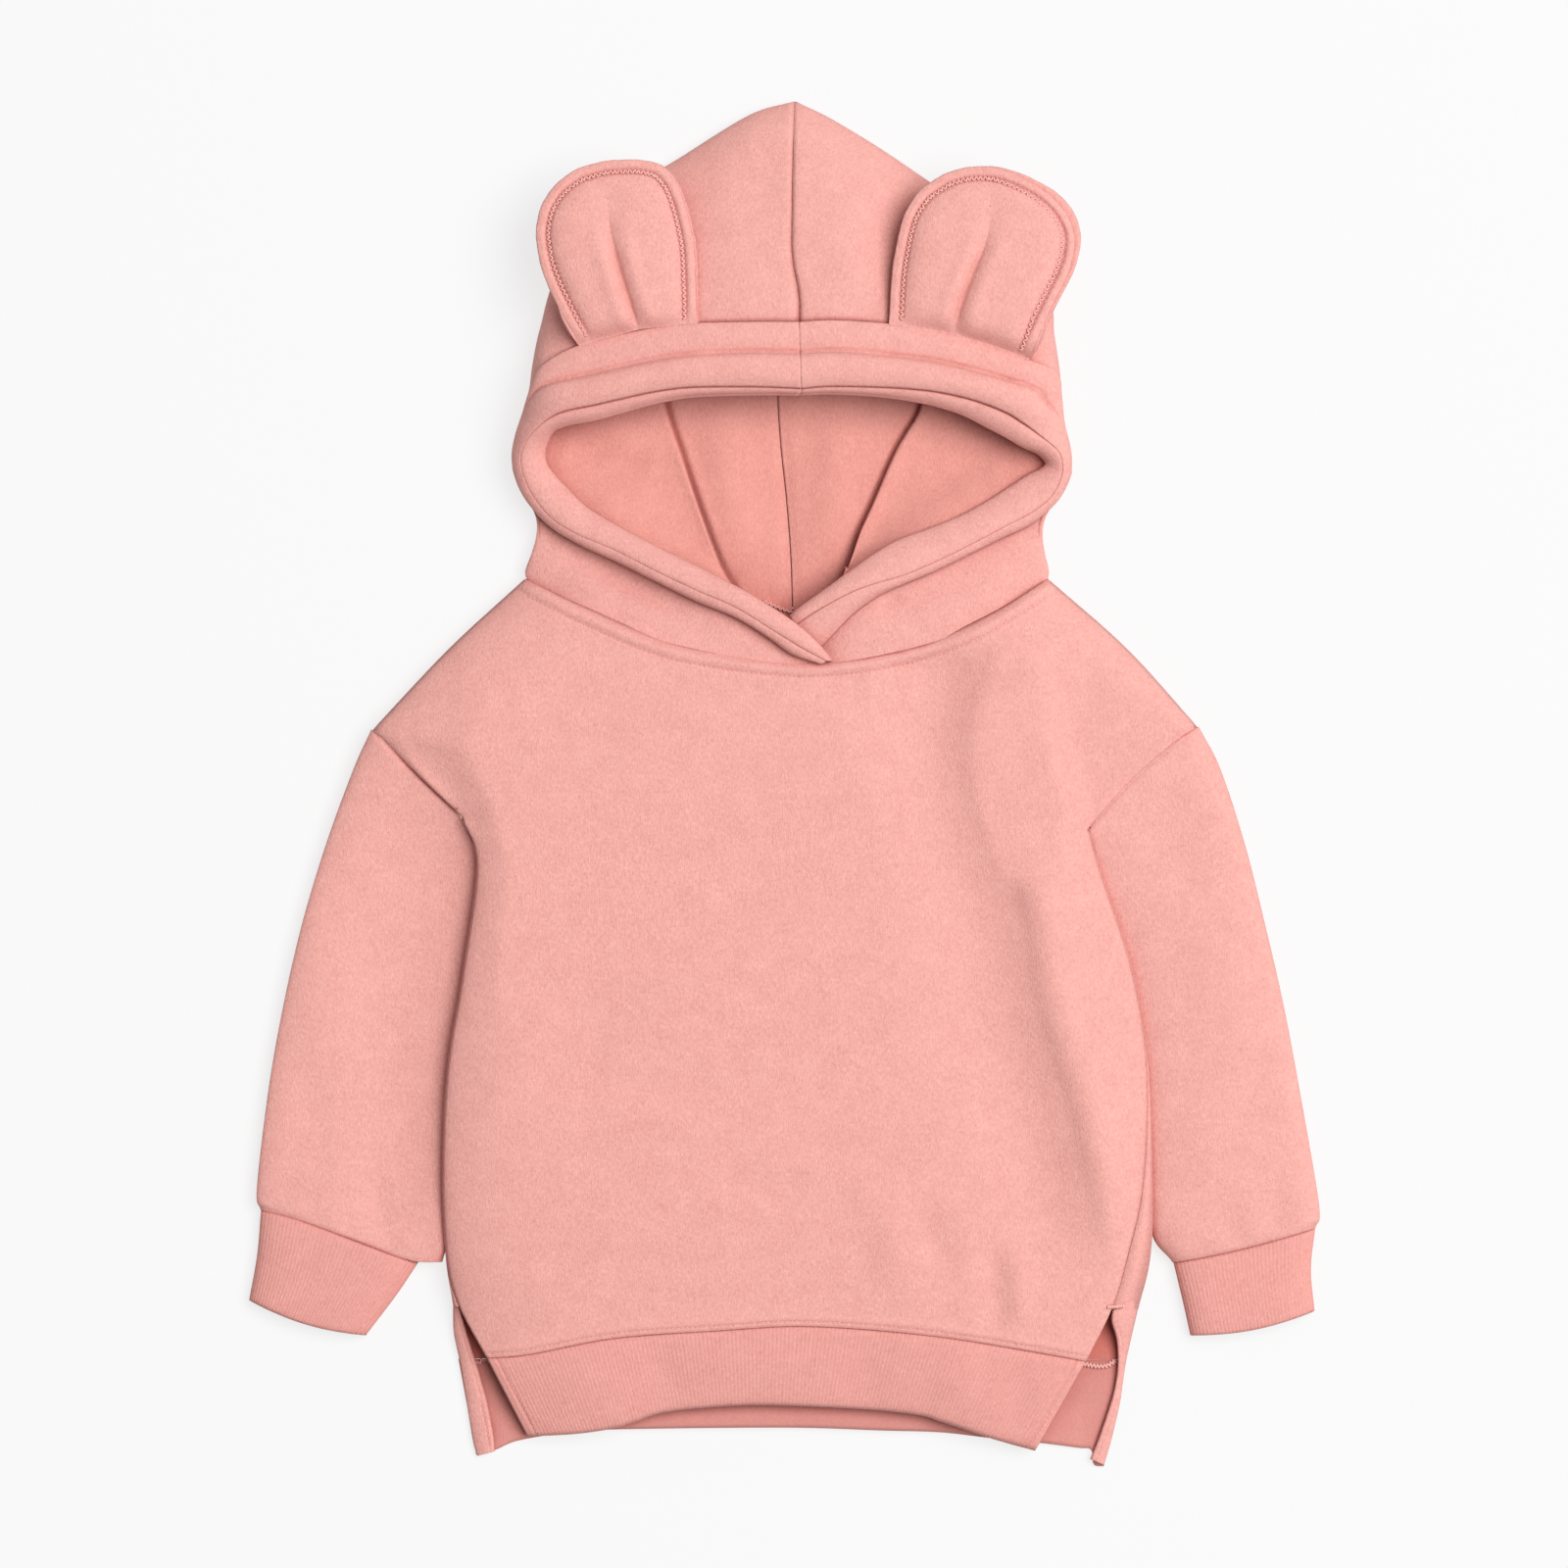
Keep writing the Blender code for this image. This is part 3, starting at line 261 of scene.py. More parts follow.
# The folds of the front: where each starts and ends, how wide it is and how far it sinks (-) or rises (+).
FRONT_FOLDS = [
    # name, from x y, to x y, bow sideways, width, lift
    ("left long ridge", -146.0, 70.0, -150.0, -215.0, 6.0, 22.0, 2.0),
    ("left long hollow", -98.0, 60.0, -104.0, -190.0, 4.0, 24.0, -1.2),
    ("shoulder slope", -206.0, 34.0, -160.0, -34.0, -9.0, 12.0, -3.4),
    ("shoulder crest", -160.0, 70.0, -140.0, -20.0, -8.0, 12.0, 1.2),
    ("right side hollow", 156.0, 10.0, 176.0, -100.0, 6.0, 9.0, -1.2),
    ("right shoulder hollow", 154.0, 66.0, 152.0, 4.0, 0.0, 10.0, -2.6),
    ("right shoulder crest", 178.0, 52.0, 176.0, 14.0, 0.0, 9.0, 1.2),
    ("under the neck", 18.0, 54.0, 44.0, 50.0, -2.0, 8.0, -1.4),
    ("middle swell", -40.0, 30.0, -30.0, -120.0, 10.0, 34.0, 1.0),
    ("belly crease", -92.0, -150.0, -2.0, -156.0, -5.0, 10.0, -1.0),
    ("belly roll", -80.0, -166.0, 6.0, -170.0, -5.0, 11.0, 0.7),
    ("second crease", -10.0, -174.0, 76.0, -186.0, -5.0, 11.0, -1.2),
    ("second roll", 0.0, -190.0, 64.0, -200.0, -4.0, 10.0, 0.6),
    ("third crease", -36.0, -197.0, 16.0, -204.0, -3.0, 9.0, -0.8),
    ("bright streak", 34.0, -196.0, 66.0, -266.0, 5.0, 12.0, 1.6),
    ("streak hollow", 62.0, -204.0, 84.0, -262.0, 4.0, 9.0, -1.3),
    ("dimple", 104.0, -232.0, 106.0, -282.0, 2.0, 7.0, -1.8),
    ("dimple ridge", 116.0, -228.0, 120.0, -278.0, 2.0, 7.0, 1.4),
    ("low left roll", -146.0, -276.0, -88.0, -236.0, -5.0, 9.0, 1.2),
    ("low left hollow", -130.0, -248.0, -92.0, -226.0, -3.0, 9.0, -1.0),
]
# The long fold on the wearer's left, from the neck down to the vent: a slope with a trough on one side of it
# and a ridge on the other. For places along it: x, y and how strong it is.
LONG_FOLD = [(103.0, 76.0, 0.0), (102.0, 56.0, 0.9), (97.0, 26.5, 1.0), (105.5, -20.5, 0.85),
             (120.0, -67.5, 0.8), (126.0, -109.0, 0.75), (140.5, -156.0, 0.8), (149.5, -191.0, 0.85),
             (158.0, -226.5, 0.6), (163.0, -256.0, 0.0)]
LONG_FOLD_SIZE = (25.0, 14.0, 6.2)  # width of its trough and of its ridge, and height
FOLDS_START = 11.0  # the folds fade out over this much at the panel's sides
SIDE_RISE = 7.5  # how much higher than the cloth outside it a rolled edge may be
SIDES_CLOSER = 0.35  # how much closer together the panel's points are at its sides
NECK_BOW_FADES = 1.9  # lines across the body lose the neck seam's bow this fast on the way down
HEM_BOW_FROM = 0.55  # and take on the hem seam's from this share of the way


def spline_at(values, where):
    """The values on a smooth curve through the rows of a table, at places counted in rows."""
    values = np.asarray(values, float)
    padded = np.vstack([2 * values[0] - values[1], values, 2 * values[-1] - values[-2]])
    whole = np.minimum(where.astype(int), len(values) - 2)
    t = (where - whole)[:, None]
    before, start, end, after = (padded[whole + k] for k in range(4))
    return 0.5 * (2 * start + (end - before) * t + (2 * before - 5 * start + 4 * end - after) * t**2
                  + (3 * start - before - 3 * end + after) * t**3)


def refine(stations, steps):
    """The stations' numbers with more rows between them, steps rows from each station to the next."""
    return spline_at(stations, np.linspace(0, len(stations) - 1, steps * (len(stations) - 1) + 1))


def closer_at_ends(count, near, extra):
    """Row places for a table of count rows, with extra rows among its first and last few."""
    last = count - 1
    return np.unique(np.concatenate([np.linspace(0, near, extra), np.arange(near, last - near + 1),
                                     np.linspace(last - near, last, extra)]))


def travel(points):
    """The length from the first point of a line to each of its points."""
    return np.concatenate([[0], np.cumsum(np.linalg.norm(np.diff(points, axis=0), axis=1))])


def resample(points, count):
    """Points evenly spaced by length on the straight stretches between these, ends included."""
    travelled = travel(points)
    wanted = np.linspace(0, travelled[-1], count)
    return np.column_stack([np.interp(wanted, travelled, points[:, k]) for k in range(points.shape[1])])


def even_run(points, count):
    """Points evenly spaced by length on a smooth curve through these, ends included."""
    return resample(refine(points, 24), count)


def dome(across, flatness):
    """Height, 0 to 1, of a puffed cloth tube at each place across it, 0 to 1."""
    return (1 - np.abs(2 * np.asarray(across) - 1) ** flatness).clip(0) ** 0.5


def fold_lift(places, folds):
    """How far the folds sink or raise the cloth at each x, y: soft-sided, fading out towards both ends."""
    x, y = places[..., 0], places[..., 1]
    lift = np.zeros_like(x)
    for _, x0, y0, x1, y1, bow, width, height in folds:
        length = math.hypot(x1 - x0, y1 - y0)
        along_x, along_y = (x1 - x0) / length, (y1 - y0) / length
        t = ((x - x0) * along_x + (y - y0) * along_y) / length
        off = -(x - x0) * along_y + (y - y0) * along_x - bow * (1 - (2 * t.clip(0, 1) - 1) ** 2)
        past = np.maximum(0, np.abs(t - 0.5) - 0.5) * length
        fade = np.sin(np.pi * t.clip(0.04, 0.96)) ** 0.8
        lift += height * fade * np.exp(-(off / width) ** 2 - (past / width) ** 2)
    return lift


def beside(places, line):
    """Each place's distance from a line, the side it is on, 1 left or -1 right, and the line's strength."""
    points = places[..., :2].reshape(-1, 2)
    best, side, strength = np.full(len(points), 1e9), np.zeros(len(points)), np.zeros(len(points))
    for start, end in zip(line[:-1], line[1:]):
        along = end[:2] - start[:2]
        share = ((points - start[:2]) @ along / max(along @ along, 1e-9)).clip(0, 1)
        off = points - start[:2] - along * share[:, None]
        distance = np.hypot(*off.T)
        nearer = distance < best
        best[nearer] = distance[nearer]
        side[nearer] = np.sign(off[:, 1] * along[0] - off[:, 0] * along[1])[nearer]
        if len(start) > 2:
            strength[nearer] = (start[2] + (end[2] - start[2]) * share)[nearer]
    return [value.reshape(places.shape[:-1]) for value in (best, side, strength)]


def gap_to(places, line):
    """How far each place is from the nearest one on a line."""
    return beside(places, line)[0]


def slope_fold(places, path, trough, ridge, height):
    """The lift of a long fold: down on one side of its line and up on the other, by its strength there."""
    distance, side, strength = beside(places, even_run(path, 70))
    u = distance / np.where(side > 0, ridge, trough) * side
    return strength * height * 1.65 * u * np.exp(-(u**2) / 2)  # which is the height where u is 1


def bump_along(gap, centre, width):
    """A soft ridge, 0 to 1, at this distance from a seam."""
    return np.exp(-(((gap - centre) / width) ** 2))


def rolled_in(distance, depth, width):
    """How far a sewn edge has turned down at this distance from its seam."""
    return -depth * np.exp(-((np.asarray(distance) / width) ** 1.3))


def grid_faces(rows, columns, ring=False):
    """The four-sided faces between the points of a grid, closed into a tube for a ring."""
    first = np.arange(rows - 1)[:, None] * columns
    left = np.arange(columns if ring else columns - 1)[None, :]
    right = (left + 1) % columns
    corners = (first + left, first + columns + left, first + columns + right, first + right)
    return np.stack([corner.reshape(-1) for corner in corners], axis=1).tolist()


def cloth(name, grid, wall, material, node, ring=False, inside=None):
    """A piece of cloth through a grid of outer points in millimetres, with its thickness turned inwards."""
    rows, columns = grid.shape[:2]
    mesh = bpy.data.meshes.new(name)
    mesh.from_pydata((grid.reshape(-1, 3) * MM).tolist(), [], grid_faces(rows, columns, ring))
    mesh.materials.append(material)
    mesh.shade_smooth()
    piece = bpy.data.objects.new(name, mesh)
    wardrobe.objects.link(piece)
    thickness = piece.modifiers.new("thickness", "SOLIDIFY")
    thickness.thickness = wall * MM
    thickness.offset = -1.0
    if inside:
        mesh.materials.append(inside)
        thickness.material_offset = 1
    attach(piece, "root")
    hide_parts(node)
    return piece


def body_rows(steps):
    """Lines across the body from its stations, on smooth curves between the corners of its outline."""
    values = [station[1:] for station in BODY]
    corners = [0, SHOULDER_TIP, ARMPIT, len(BODY) - 1]
    rows = []
    for first, last in zip(corners, corners[1:]):
        run = refine(values[first : last + 1], steps)
        rows += list(run if last == len(BODY) - 1 else run[:-1])
    return np.array(rows)


def bow_of(curve, line):
    """How far a seam lies off the straight body line beside it, against the share of the way across."""
    curve = even_run(curve, 160)
    across = (curve[:, 0] - line[0]) / (line[2] - line[0])
    return across, curve[:, 1] - (line[1] + (line[3] - line[1]) * across)


def body_place(row, across, neck, hem, progress):
    """The x, y of places on a body line, bowed like the neck seam near the top and the hem lower down."""
    neck_share = max(0.0, 1 - progress * NECK_BOW_FADES)
    hem_share = max(0.0, (progress - HEM_BOW_FROM) / (1 - HEM_BOW_FROM)) ** 1.5
    x = row[0] + (row[2] - row[0]) * across
    y = row[1] + (row[3] - row[1]) * across
    return x, y + np.interp(across, *neck) * neck_share + np.interp(across, *hem) * hem_share


def armhole_at(lines, end):
    """The armhole: the body's outline at this end of its lines, from the shoulder tip down to the armpit."""
    top, low = (np.array(BODY[place][1:])[end][1] for place in (SHOULDER_TIP, ARMPIT))
    return lines[(lines[:, end][:, 1] < top + 0.3) & (lines[:, end][:, 1] > low - 0.3)][:, end]


body_lines = body_rows(BODY_ROWS)
body_lines[:, BACK_ROLLS] = body_lines[:, BACK_ROLLS].clip(0, 1)
body_lines = spline_at(body_lines, closer_at_ends(len(body_lines), 5, 26))
body_lines[:, BACK_ROLLS] = body_lines[:, BACK_ROLLS].clip(0, 1)
near = bump_along(body_lines[:, None, 1], body_lines[None, :, 1], CROWN_SOFTNESS)
near *= np.gradient(-body_lines[:, 1])
body_lines[:, CROWN] = (near @ body_lines[:, CROWN]) / near.sum(axis=1)
body_progress = travel((body_lines[:, LEFT] + body_lines[:, RIGHT]) / 2)
body_progress /= body_progress[-1]
neck_bow, hem_bow = bow_of(NECK_SEAM, body_lines[0]), bow_of(FRONT_HEM_SEAM, body_lines[-1])
even = np.linspace(0, 1, BODY_ACROSS)
spread = SIDES_CLOSER * (0.5 - 0.5 * np.cos(np.pi * even)) + (1 - SIDES_CLOSER) * even
front_grid = []
for row, share in zip(body_lines, body_progress):
    side_height, crown, from_left, from_right = row[4:8]
    width = row[2] - row[0]
    across = from_left / width + (1 - (from_left + from_right) / width) * spread
    x, y = body_place(row, across, neck_bow, hem_bow, share)
    height = side_height + (crown - side_height) * dome(across, BODY_FLATNESS)
    front_grid.append(np.column_stack([x, y, height]))
front_grid = np.array(front_grid)
front_height = front_grid[:, :, 2]
armholes = {side: armhole_at(body_lines, end) for side, end in (("left", LEFT), ("right", RIGHT))}
seam_gaps = {"neck": gap_to(front_grid, even_run(NECK_SEAM, 60)),
             "hem": gap_to(front_grid, even_run(FRONT_HEM_SEAM, 60)),
             "armhole": np.minimum(*(gap_to(front_grid, line) for line in armholes.values()))}
held = 1 - np.exp(-np.minimum(spread, 1 - spread)[None, :] * BODY_WIDE / FOLDS_START)
front_height += fold_lift(front_grid, FRONT_FOLDS) * held
front_height += slope_fold(front_grid, LONG_FOLD, *LONG_FOLD_SIZE) * held
for seam_height, reach, path in SIDE_ROLLS.values():
    distance, roll_side, there = beside(front_grid, even_run(path, 60))
    rise = ((distance * roll_side + 0.35 * reach) / reach).clip(0, 1)
    most = seam_height + SIDE_RISE * rise * rise * (3 - 2 * rise)
    front_height -= np.maximum(0, front_height - most) * there.clip(0, 1)
for seam, turn in SEAM_TURNS.items():
    front_height += rolled_in(seam_gaps[seam], *turn)
for seam, lift, away, width in SEAM_RELIEF:
    front_height += lift * bump_along(seam_gaps[seam], away, width)
tucked = front_grid[0] + (0.0, 0.0, NECK_TUCK[1])
tucked[:, 1] += NECK_TUCK[0] * np.minimum(1, 8 * spread * (1 - spread))
body_front = cloth("front_panel", np.concatenate([[tucked], front_grid]), FLEECE_WALL, fleece,
                   "body_front")

# The back panel is the same width and longer by the vents. It lies flat on the table, and its sides roll up
# to the side seams, which come forward on the wearer's left where the front panel stops short of the outline.
BACK_ROLL = [
    # in from the outline where the panel lies flat, in where it rolls up, share of the side's height
    (2.5, 0.0, 1.0), (4.0, 1.6, 0.78), (6.0, 4.6, 0.52), (8.0, 7.4, 0.30), (10.0, 9.6, 0.15),
    (12.5, 12.6, 0.04), (15.0, 16.0, 0.0),
]
BACK_FLAT = np.linspace(0.08, 0.92, 40)  # shares of the way across where it lies on the table
BACK_EDGE_IN = (0.3, 0.1, 0.6)  # where it ends: in from the outline if flat, if rolled, out from the front
BACK_NECK_DROP = 15.0
VENT_TOP = -268.0
VENT_NEAR = -230.0  # below this the roll ends at the vent's top, whatever the station says
back_neck_bow = (neck_bow[0], -BACK_NECK_DROP * np.sin(np.pi * neck_bow[0].clip(0, 1)))
back_grid = []
for row, share in zip(body_lines, body_progress):
    side_height, crown, from_left, from_right, roll = row[4:9]
    width = row[2] - row[0]
    if row[1] > BODY[SHOULDER_TIP][2] + 0.5:  # sewn to the front along the shoulders
        roll = 1.0
    if row[1] < VENT_NEAR:
        roll = float(np.clip((row[1] - VENT_TOP) / 2.0, 0, 1))
    sides = []
    for front_in in (from_left, from_right):
        flat_end = BACK_EDGE_IN[0]
        rolled_end = max(BACK_EDGE_IN[1], front_in - BACK_EDGE_IN[2])
        end_height = side_height + (crown - side_height) * float(dome(rolled_end / width, BODY_FLATNESS))
        side = [((flat_end + (rolled_end - flat_end) * roll) / width, end_height * roll)]
        side += [((flat + (rolled - flat) * roll) / width, side_height * part * roll)
                 for flat, rolled, part in BACK_ROLL]
        sides.append(side)
    right = [(1 - u, height) for u, height in sides[1]]
    across = np.array(sides[0] + [(u, 0.0) for u in BACK_FLAT] + right[::-1])
    x, y = body_place(row, across[:, 0], back_neck_bow, (hem_bow[0], 0 * hem_bow[1]), share)
    back_grid.append(np.column_stack([x, y, across[:, 1]])[::-1])
# Its inside, seen only through the vents, takes the darker colour painted for shade.
body_back = cloth("back_panel", np.array(back_grid), FLEECE_WALL, fleece, "body_back",
                  inside=fleece_inside_shaded)

# ---- Sleeves -----------------------------------------------------------------------------------------------
# Wide drop-shoulder sleeves, each one piece of fleece with its seam on the underside. They lie nearly flat,
# are fullest at the elbow and sag into a soft hollow where they pass under the edge of the body.
SLEEVES = {
    "left": [
        # name, outer x y, inner x y, height of the outer fold, of the crown, of the inner fold
        ("armhole", -210.2, 26.8, -164.3, -16.8, 11.0, 16.4, 17.6),
        ("upper arm", -219.0, 8.0, -158.5, -30.0, 9.5, 14.6, 17.0),
        ("above elbow", -233.0, -30.0, -147.5, -54.0, 9.0, 13.2, 17.6),
        ("elbow", -245.5, -71.5, -152.5, -101.0, 8.5, 12.8, 17.4),
        ("below elbow", -255.0, -113.0, -159.5, -143.5, 8.5, 12.6, 17.0),
        ("forearm", -262.5, -155.5, -165.0, -186.0, 8.5, 12.6, 16.0),
        ("wrist", -268.5, -206.0, -170.8, -230.0, 8.0, 12.6, 12.0),
        ("cuff seam", -266.8, -216.8, -174.0, -243.5, 6.0, 12.2, 6.0),
    ],
    "right": [
        ("armhole", 211.2, 28.3, 155.2, -23.3, 11.0, 18.2, 18.0),
        ("upper arm", 222.0, 8.0, 155.5, -34.0, 9.5, 17.5, 15.5),
        ("above elbow", 234.5, -30.0, 159.6, -52.0, 9.0, 17.0, 14.5),
        ("elbow", 245.0, -71.5, 172.4, -92.0, 8.5, 16.5, 13.5),
        ("below elbow", 254.5, -113.0, 180.4, -135.0, 8.5, 16.5, 13.0),
        ("forearm", 262.5, -155.5, 184.3, -178.0, 8.5, 16.0, 12.0),
        ("wrist", 272.5, -214.0, 186.4, -226.0, 8.0, 14.0, 8.0),
        ("cuff seam", 271.0, -226.0, 198.0, -243.8, 6.0, 12.2, 5.0),
    ],
}
CUFF_SEAMS = {
    "left": [(-266.8, -216.8), (-255.0, -219.6), (-244.5, -222.8), (-226.5, -229.6), (-208.5, -236.4),
             (-196.5, -240.8), (-186.0, -243.3), (-174.5, -243.5)],
    "right": [(198.0, -243.8), (212.0, -241.2), (230.0, -237.4), (250.0, -232.2), (271.0, -226.0)],
}
SLEEVE_FOLDS = {
    "left": [
        ("elbow hollow", -232.0, -40.0, -214.0, -120.0, 8.0, 18.0, -1.4),
        ("elbow ridge", -216.0, -60.0, -228.0, -170.0, -8.0, 16.0, 1.2),
        ("forearm hollow", -248.0, -130.0, -240.0, -210.0, 5.0, 14.0, -1.2),
        ("low ridge", -226.0, -160.0, -232.0, -226.0, 4.0, 14.0, 1.2),
        ("cuff pucker", -212.0, -196.0, -206.0, -236.0, 3.0, 8.0, -1.1),
        ("outer pucker", -254.0, -196.0, -256.0, -222.0, 2.0, 6.0, -0.8),
    ],
    "right": [
        ("beside the body", 168.0, -50.0, 188.0, -190.0, 5.0, 8.0, -1.2),
        ("upper hollow", 196.0, 10.0, 212.0, -60.0, -7.0, 15.0, -1.3),
        ("elbow ridge", 204.0, -50.0, 226.0, -160.0, 8.0, 17.0, 1.6),
        ("forearm hollow", 246.0, -110.0, 252.0, -200.0, -5.0, 15.0, -1.4),
        ("low ridge", 212.0, -150.0, 230.0, -226.0, -5.0, 13.0, 1.2),
        ("cuff pucker", 218.0, -200.0, 226.0, -238.0, 3.0, 8.0, -1.0),
        ("outer pucker", 252.0, -204.0, 254.0, -230.0, -2.0, 7.0, -0.8),
    ],
}

# The left sleeve rises again to the edge of the body and goes under it: the line of that rise, x y strength,
# and how wide it is on its two sides, and how high.
BESIDE_BODY = [(-161.0, -6.0, 0.2), (-153.0, -34.0, 0.8), (-153.0, -66.0, 1.0), (-158.0, -98.0, 1.0),
               (-165.0, -141.0, 1.0), (-169.0, -184.0, 1.0), (-170.0, -222.0, 0.6), (-170.0, -240.0, 0.2)]
BESIDE_BODY_SIZE = (30.0, 10.0, 5.0)
SLEEVE_TOP = 64  # points over the top of a sleeve, and under it
SLEEVE_UNDER = 24
SEAM_REACH = 9.0  # along this much of a sleeve the shape of its end seam dies out
SLEEVE_TURNS = {"armhole": (0.8, 1.0), "cuff": (1.0, 1.1)}
CUFF_PUCKERS = (0.3, 7.0, 5.0, 0.32)  # height, how far from the cuff, width, and turns across it
SLEEVE_LOWEST = 2.4
TUBE_FLATNESS = 4.6
TUBE_ROLLS = (1.3, 0.8)  # how far the outer and the inner fold reach in under a tube, in their own heights
TUBE_TURN = [(0.05, 0.68), (0.3, 0.35), (0.62, 0.12), (1.0, 0.0)]  # shares of that reach, and of the height
ARM_TUCK = {
    # how far it goes on under the body, how far up or down, and how fast that comes in from the outer fold
    "left": (3.0, 2.2, 2.0),
    "right": (2.4, -2.6, 0.3),
}
ARM_TUCK_START = 12.0  # it reaches its whole depth this far from the outer fold


def tube_section(row, top_points, floor_points):
    """A closed section across a flattened tube, from its outer fold over the top to its inner fold."""
    outer, inner = np.array(row[0:2]), np.array(row[2:4])
    side, crown, inner_side = row[4:7]
    width = np.hypot(*(inner - outer))
    across = 0.5 - 0.5 * np.cos(np.pi * np.linspace(0, 1, top_points))
    folds = side + (inner_side - side) * across
    heights = folds + (crown - folds) * dome(across, TUBE_FLATNESS)
    roll, inner_roll = TUBE_ROLLS[0] * side / width, TUBE_ROLLS[1] * inner_side / width
    floor = np.linspace(1 - inner_roll, roll, floor_points)[1:-1]
    across = np.concatenate([across, [1 - inner_roll * reach for reach, _ in TUBE_TURN], floor,
                             [roll * reach for reach, _ in TUBE_TURN[::-1]]])
    heights = np.concatenate([heights, [inner_side * height for _, height in TUBE_TURN], 0 * floor,
                              [side * height for _, height in TUBE_TURN[::-1]]])
    return np.column_stack([outer + (inner - outer) * across[:, None], heights])


def facing_out(grid, ring=0):
    """The tube's grid with its columns turned round if this ring of it would be inside out."""
    normal = np.cross(grid[ring + 1][0] - grid[ring][0], grid[ring][1] - grid[ring][0])
    return grid if np.dot(normal, grid[ring][0] - grid[ring].mean(axis=0)) > 0 else grid[:, ::-1]


def seam_bow(x, row, seam):
    """How far a seam lies off the straight line between the two folds of a tube, at each x."""
    straight = row[1] + (x - row[0]) * (row[3] - row[1]) / (row[2] - row[0])
    return np.interp(x, seam[:, 0], seam[:, 1]) - straight


for side in ("left", "right"):
    rows = refine([station[1:] for station in SLEEVES[side]], 12)
    rows = spline_at(rows, closer_at_ends(len(rows), 4, 24))
    tube = np.array([tube_section(row, SLEEVE_TOP, SLEEVE_UNDER) for row in rows])
    travelled = travel((rows[:, 0:2] + rows[:, 2:4]) / 2)
    cuff_seam = even_run(CUFF_SEAMS[side], 60)
    arm_seam = armholes[side][np.argsort(armholes[side][:, 0])]
    bow = seam_bow(tube[-1, :, 0], rows[-1], cuff_seam)
    tube[:, :, 1] += bow * np.exp(-(travelled[-1] - travelled) / SEAM_REACH)[:, None]
    bow = seam_bow(tube[0, :, 0], rows[0], arm_seam + (0, 0.55))
    tube[:, :, 1] += bow * np.exp(-travelled / SEAM_REACH)[:, None]
    top = tube[:, :SLEEVE_TOP]
    height = top[:, :, 2]
    held = np.sin(np.pi * np.linspace(0, 1, SLEEVE_TOP)) ** 0.5
    height += fold_lift(top, SLEEVE_FOLDS[side]) * held
    cuff_gap = gap_to(top, cuff_seam)
    height += rolled_in(gap_to(top, armholes[side]), *SLEEVE_TURNS["armhole"]) * held**0.3
    height += rolled_in(cuff_gap, *SLEEVE_TURNS["cuff"]) * held
    pucker, away, width, turns = CUFF_PUCKERS
    height += pucker * bump_along(cuff_gap, away, width) * np.sin(top[:, :, 0] * turns) * held
    if side == "left":
        height += slope_fold(top, BESIDE_BODY, *BESIDE_BODY_SIZE)
    top[:, :, 2] = np.maximum(height, SLEEVE_LOWEST)
    reach, rise, growth = ARM_TUCK[side]
    from_outside = np.hypot(*(tube[0, :, :2] - tube[0, 0, :2]).T)
    into_body = tube[0, :, :2] - tube[1, :, :2]
    into_body *= (reach * (from_outside / ARM_TUCK_START).clip(0.05, 1) / np.hypot(*into_body.T))[:, None]
    on_top = np.arange(len(from_outside)) < SLEEVE_TOP
    upwards = rise * (from_outside / from_outside.max()) ** growth * on_top
    tucked = np.column_stack([tube[0, :, :2] + into_body, tube[0, :, 2] + upwards])
    tube = np.concatenate([[tucked], tube])
    cloth(f"{side}_sleeve", facing_out(tube, 1), FLEECE_WALL, fleece,
                          f"sleeve_{side}", ring=True)

# ---- Cuffs -------------------------------------------------------------------------------------------------
# Two-layer tubes of rib knit, closed by a seam at the inner fold of the left one, their wales running along
# the arm.
RIB_PINK = (0.770, 0.345, 0.305, 1.0)  # deeper than the fleece, as its furrows lie in shade
RIB_WALL = 1.8
RIB_PITCH = 2.1
RIB_DEPTH = 0.19
CUFFS = {
    "left": [
        # name, outer x y, inner x y, height of the outer fold, of the crown, of the inner fold
        ("seam", -266.6, -216.8, -186.0, -243.4, 5.6, 12.0, 5.0),
        ("middle", -268.6, -240.0, -197.5, -260.5, 4.3, 11.4, 4.3),
        ("edge", -272.7, -263.0, -213.0, -281.0, 4.0, 11.0, 4.0),
    ],
    "right": [
        ("seam", 270.8, -225.8, 198.4, -243.6, 5.6, 12.0, 5.0),
        ("middle", 268.6, -247.0, 203.0, -263.0, 4.3, 11.4, 4.3),
        ("edge", 270.5, -268.5, 207.0, -281.0, 4.0, 11.0, 4.0),
    ],
}
CUFF_POINTS = (40, 16)  # on a section, over the top and under it, before the wales are laid out on it
CUFF_SAG = 3.2  # how far the open edge bows past the straight line between its folds
CUFF_LONG = 46.0
CUFF_STITCHES = (2.6, 5.0)  # lines of stitching beside the left cuff's seam, from its inner fold
WALE_POINTS = 5

rib_knit = cotton("rib_knit", RIB_PINK, heather=0.42, mottle=0.16, depth=0.3, sheen=0.15)


def wale_relief(places, depth):
    """The height of rib knit at each place counted in wales: round wales with narrow furrows between them."""
    return -depth * (1 - np.abs(np.sin(np.pi * np.asarray(places))) ** 0.7)


def closed(section):
    """A ring's points with the first one again at the end."""
    return np.vstack([section, section[:1]])


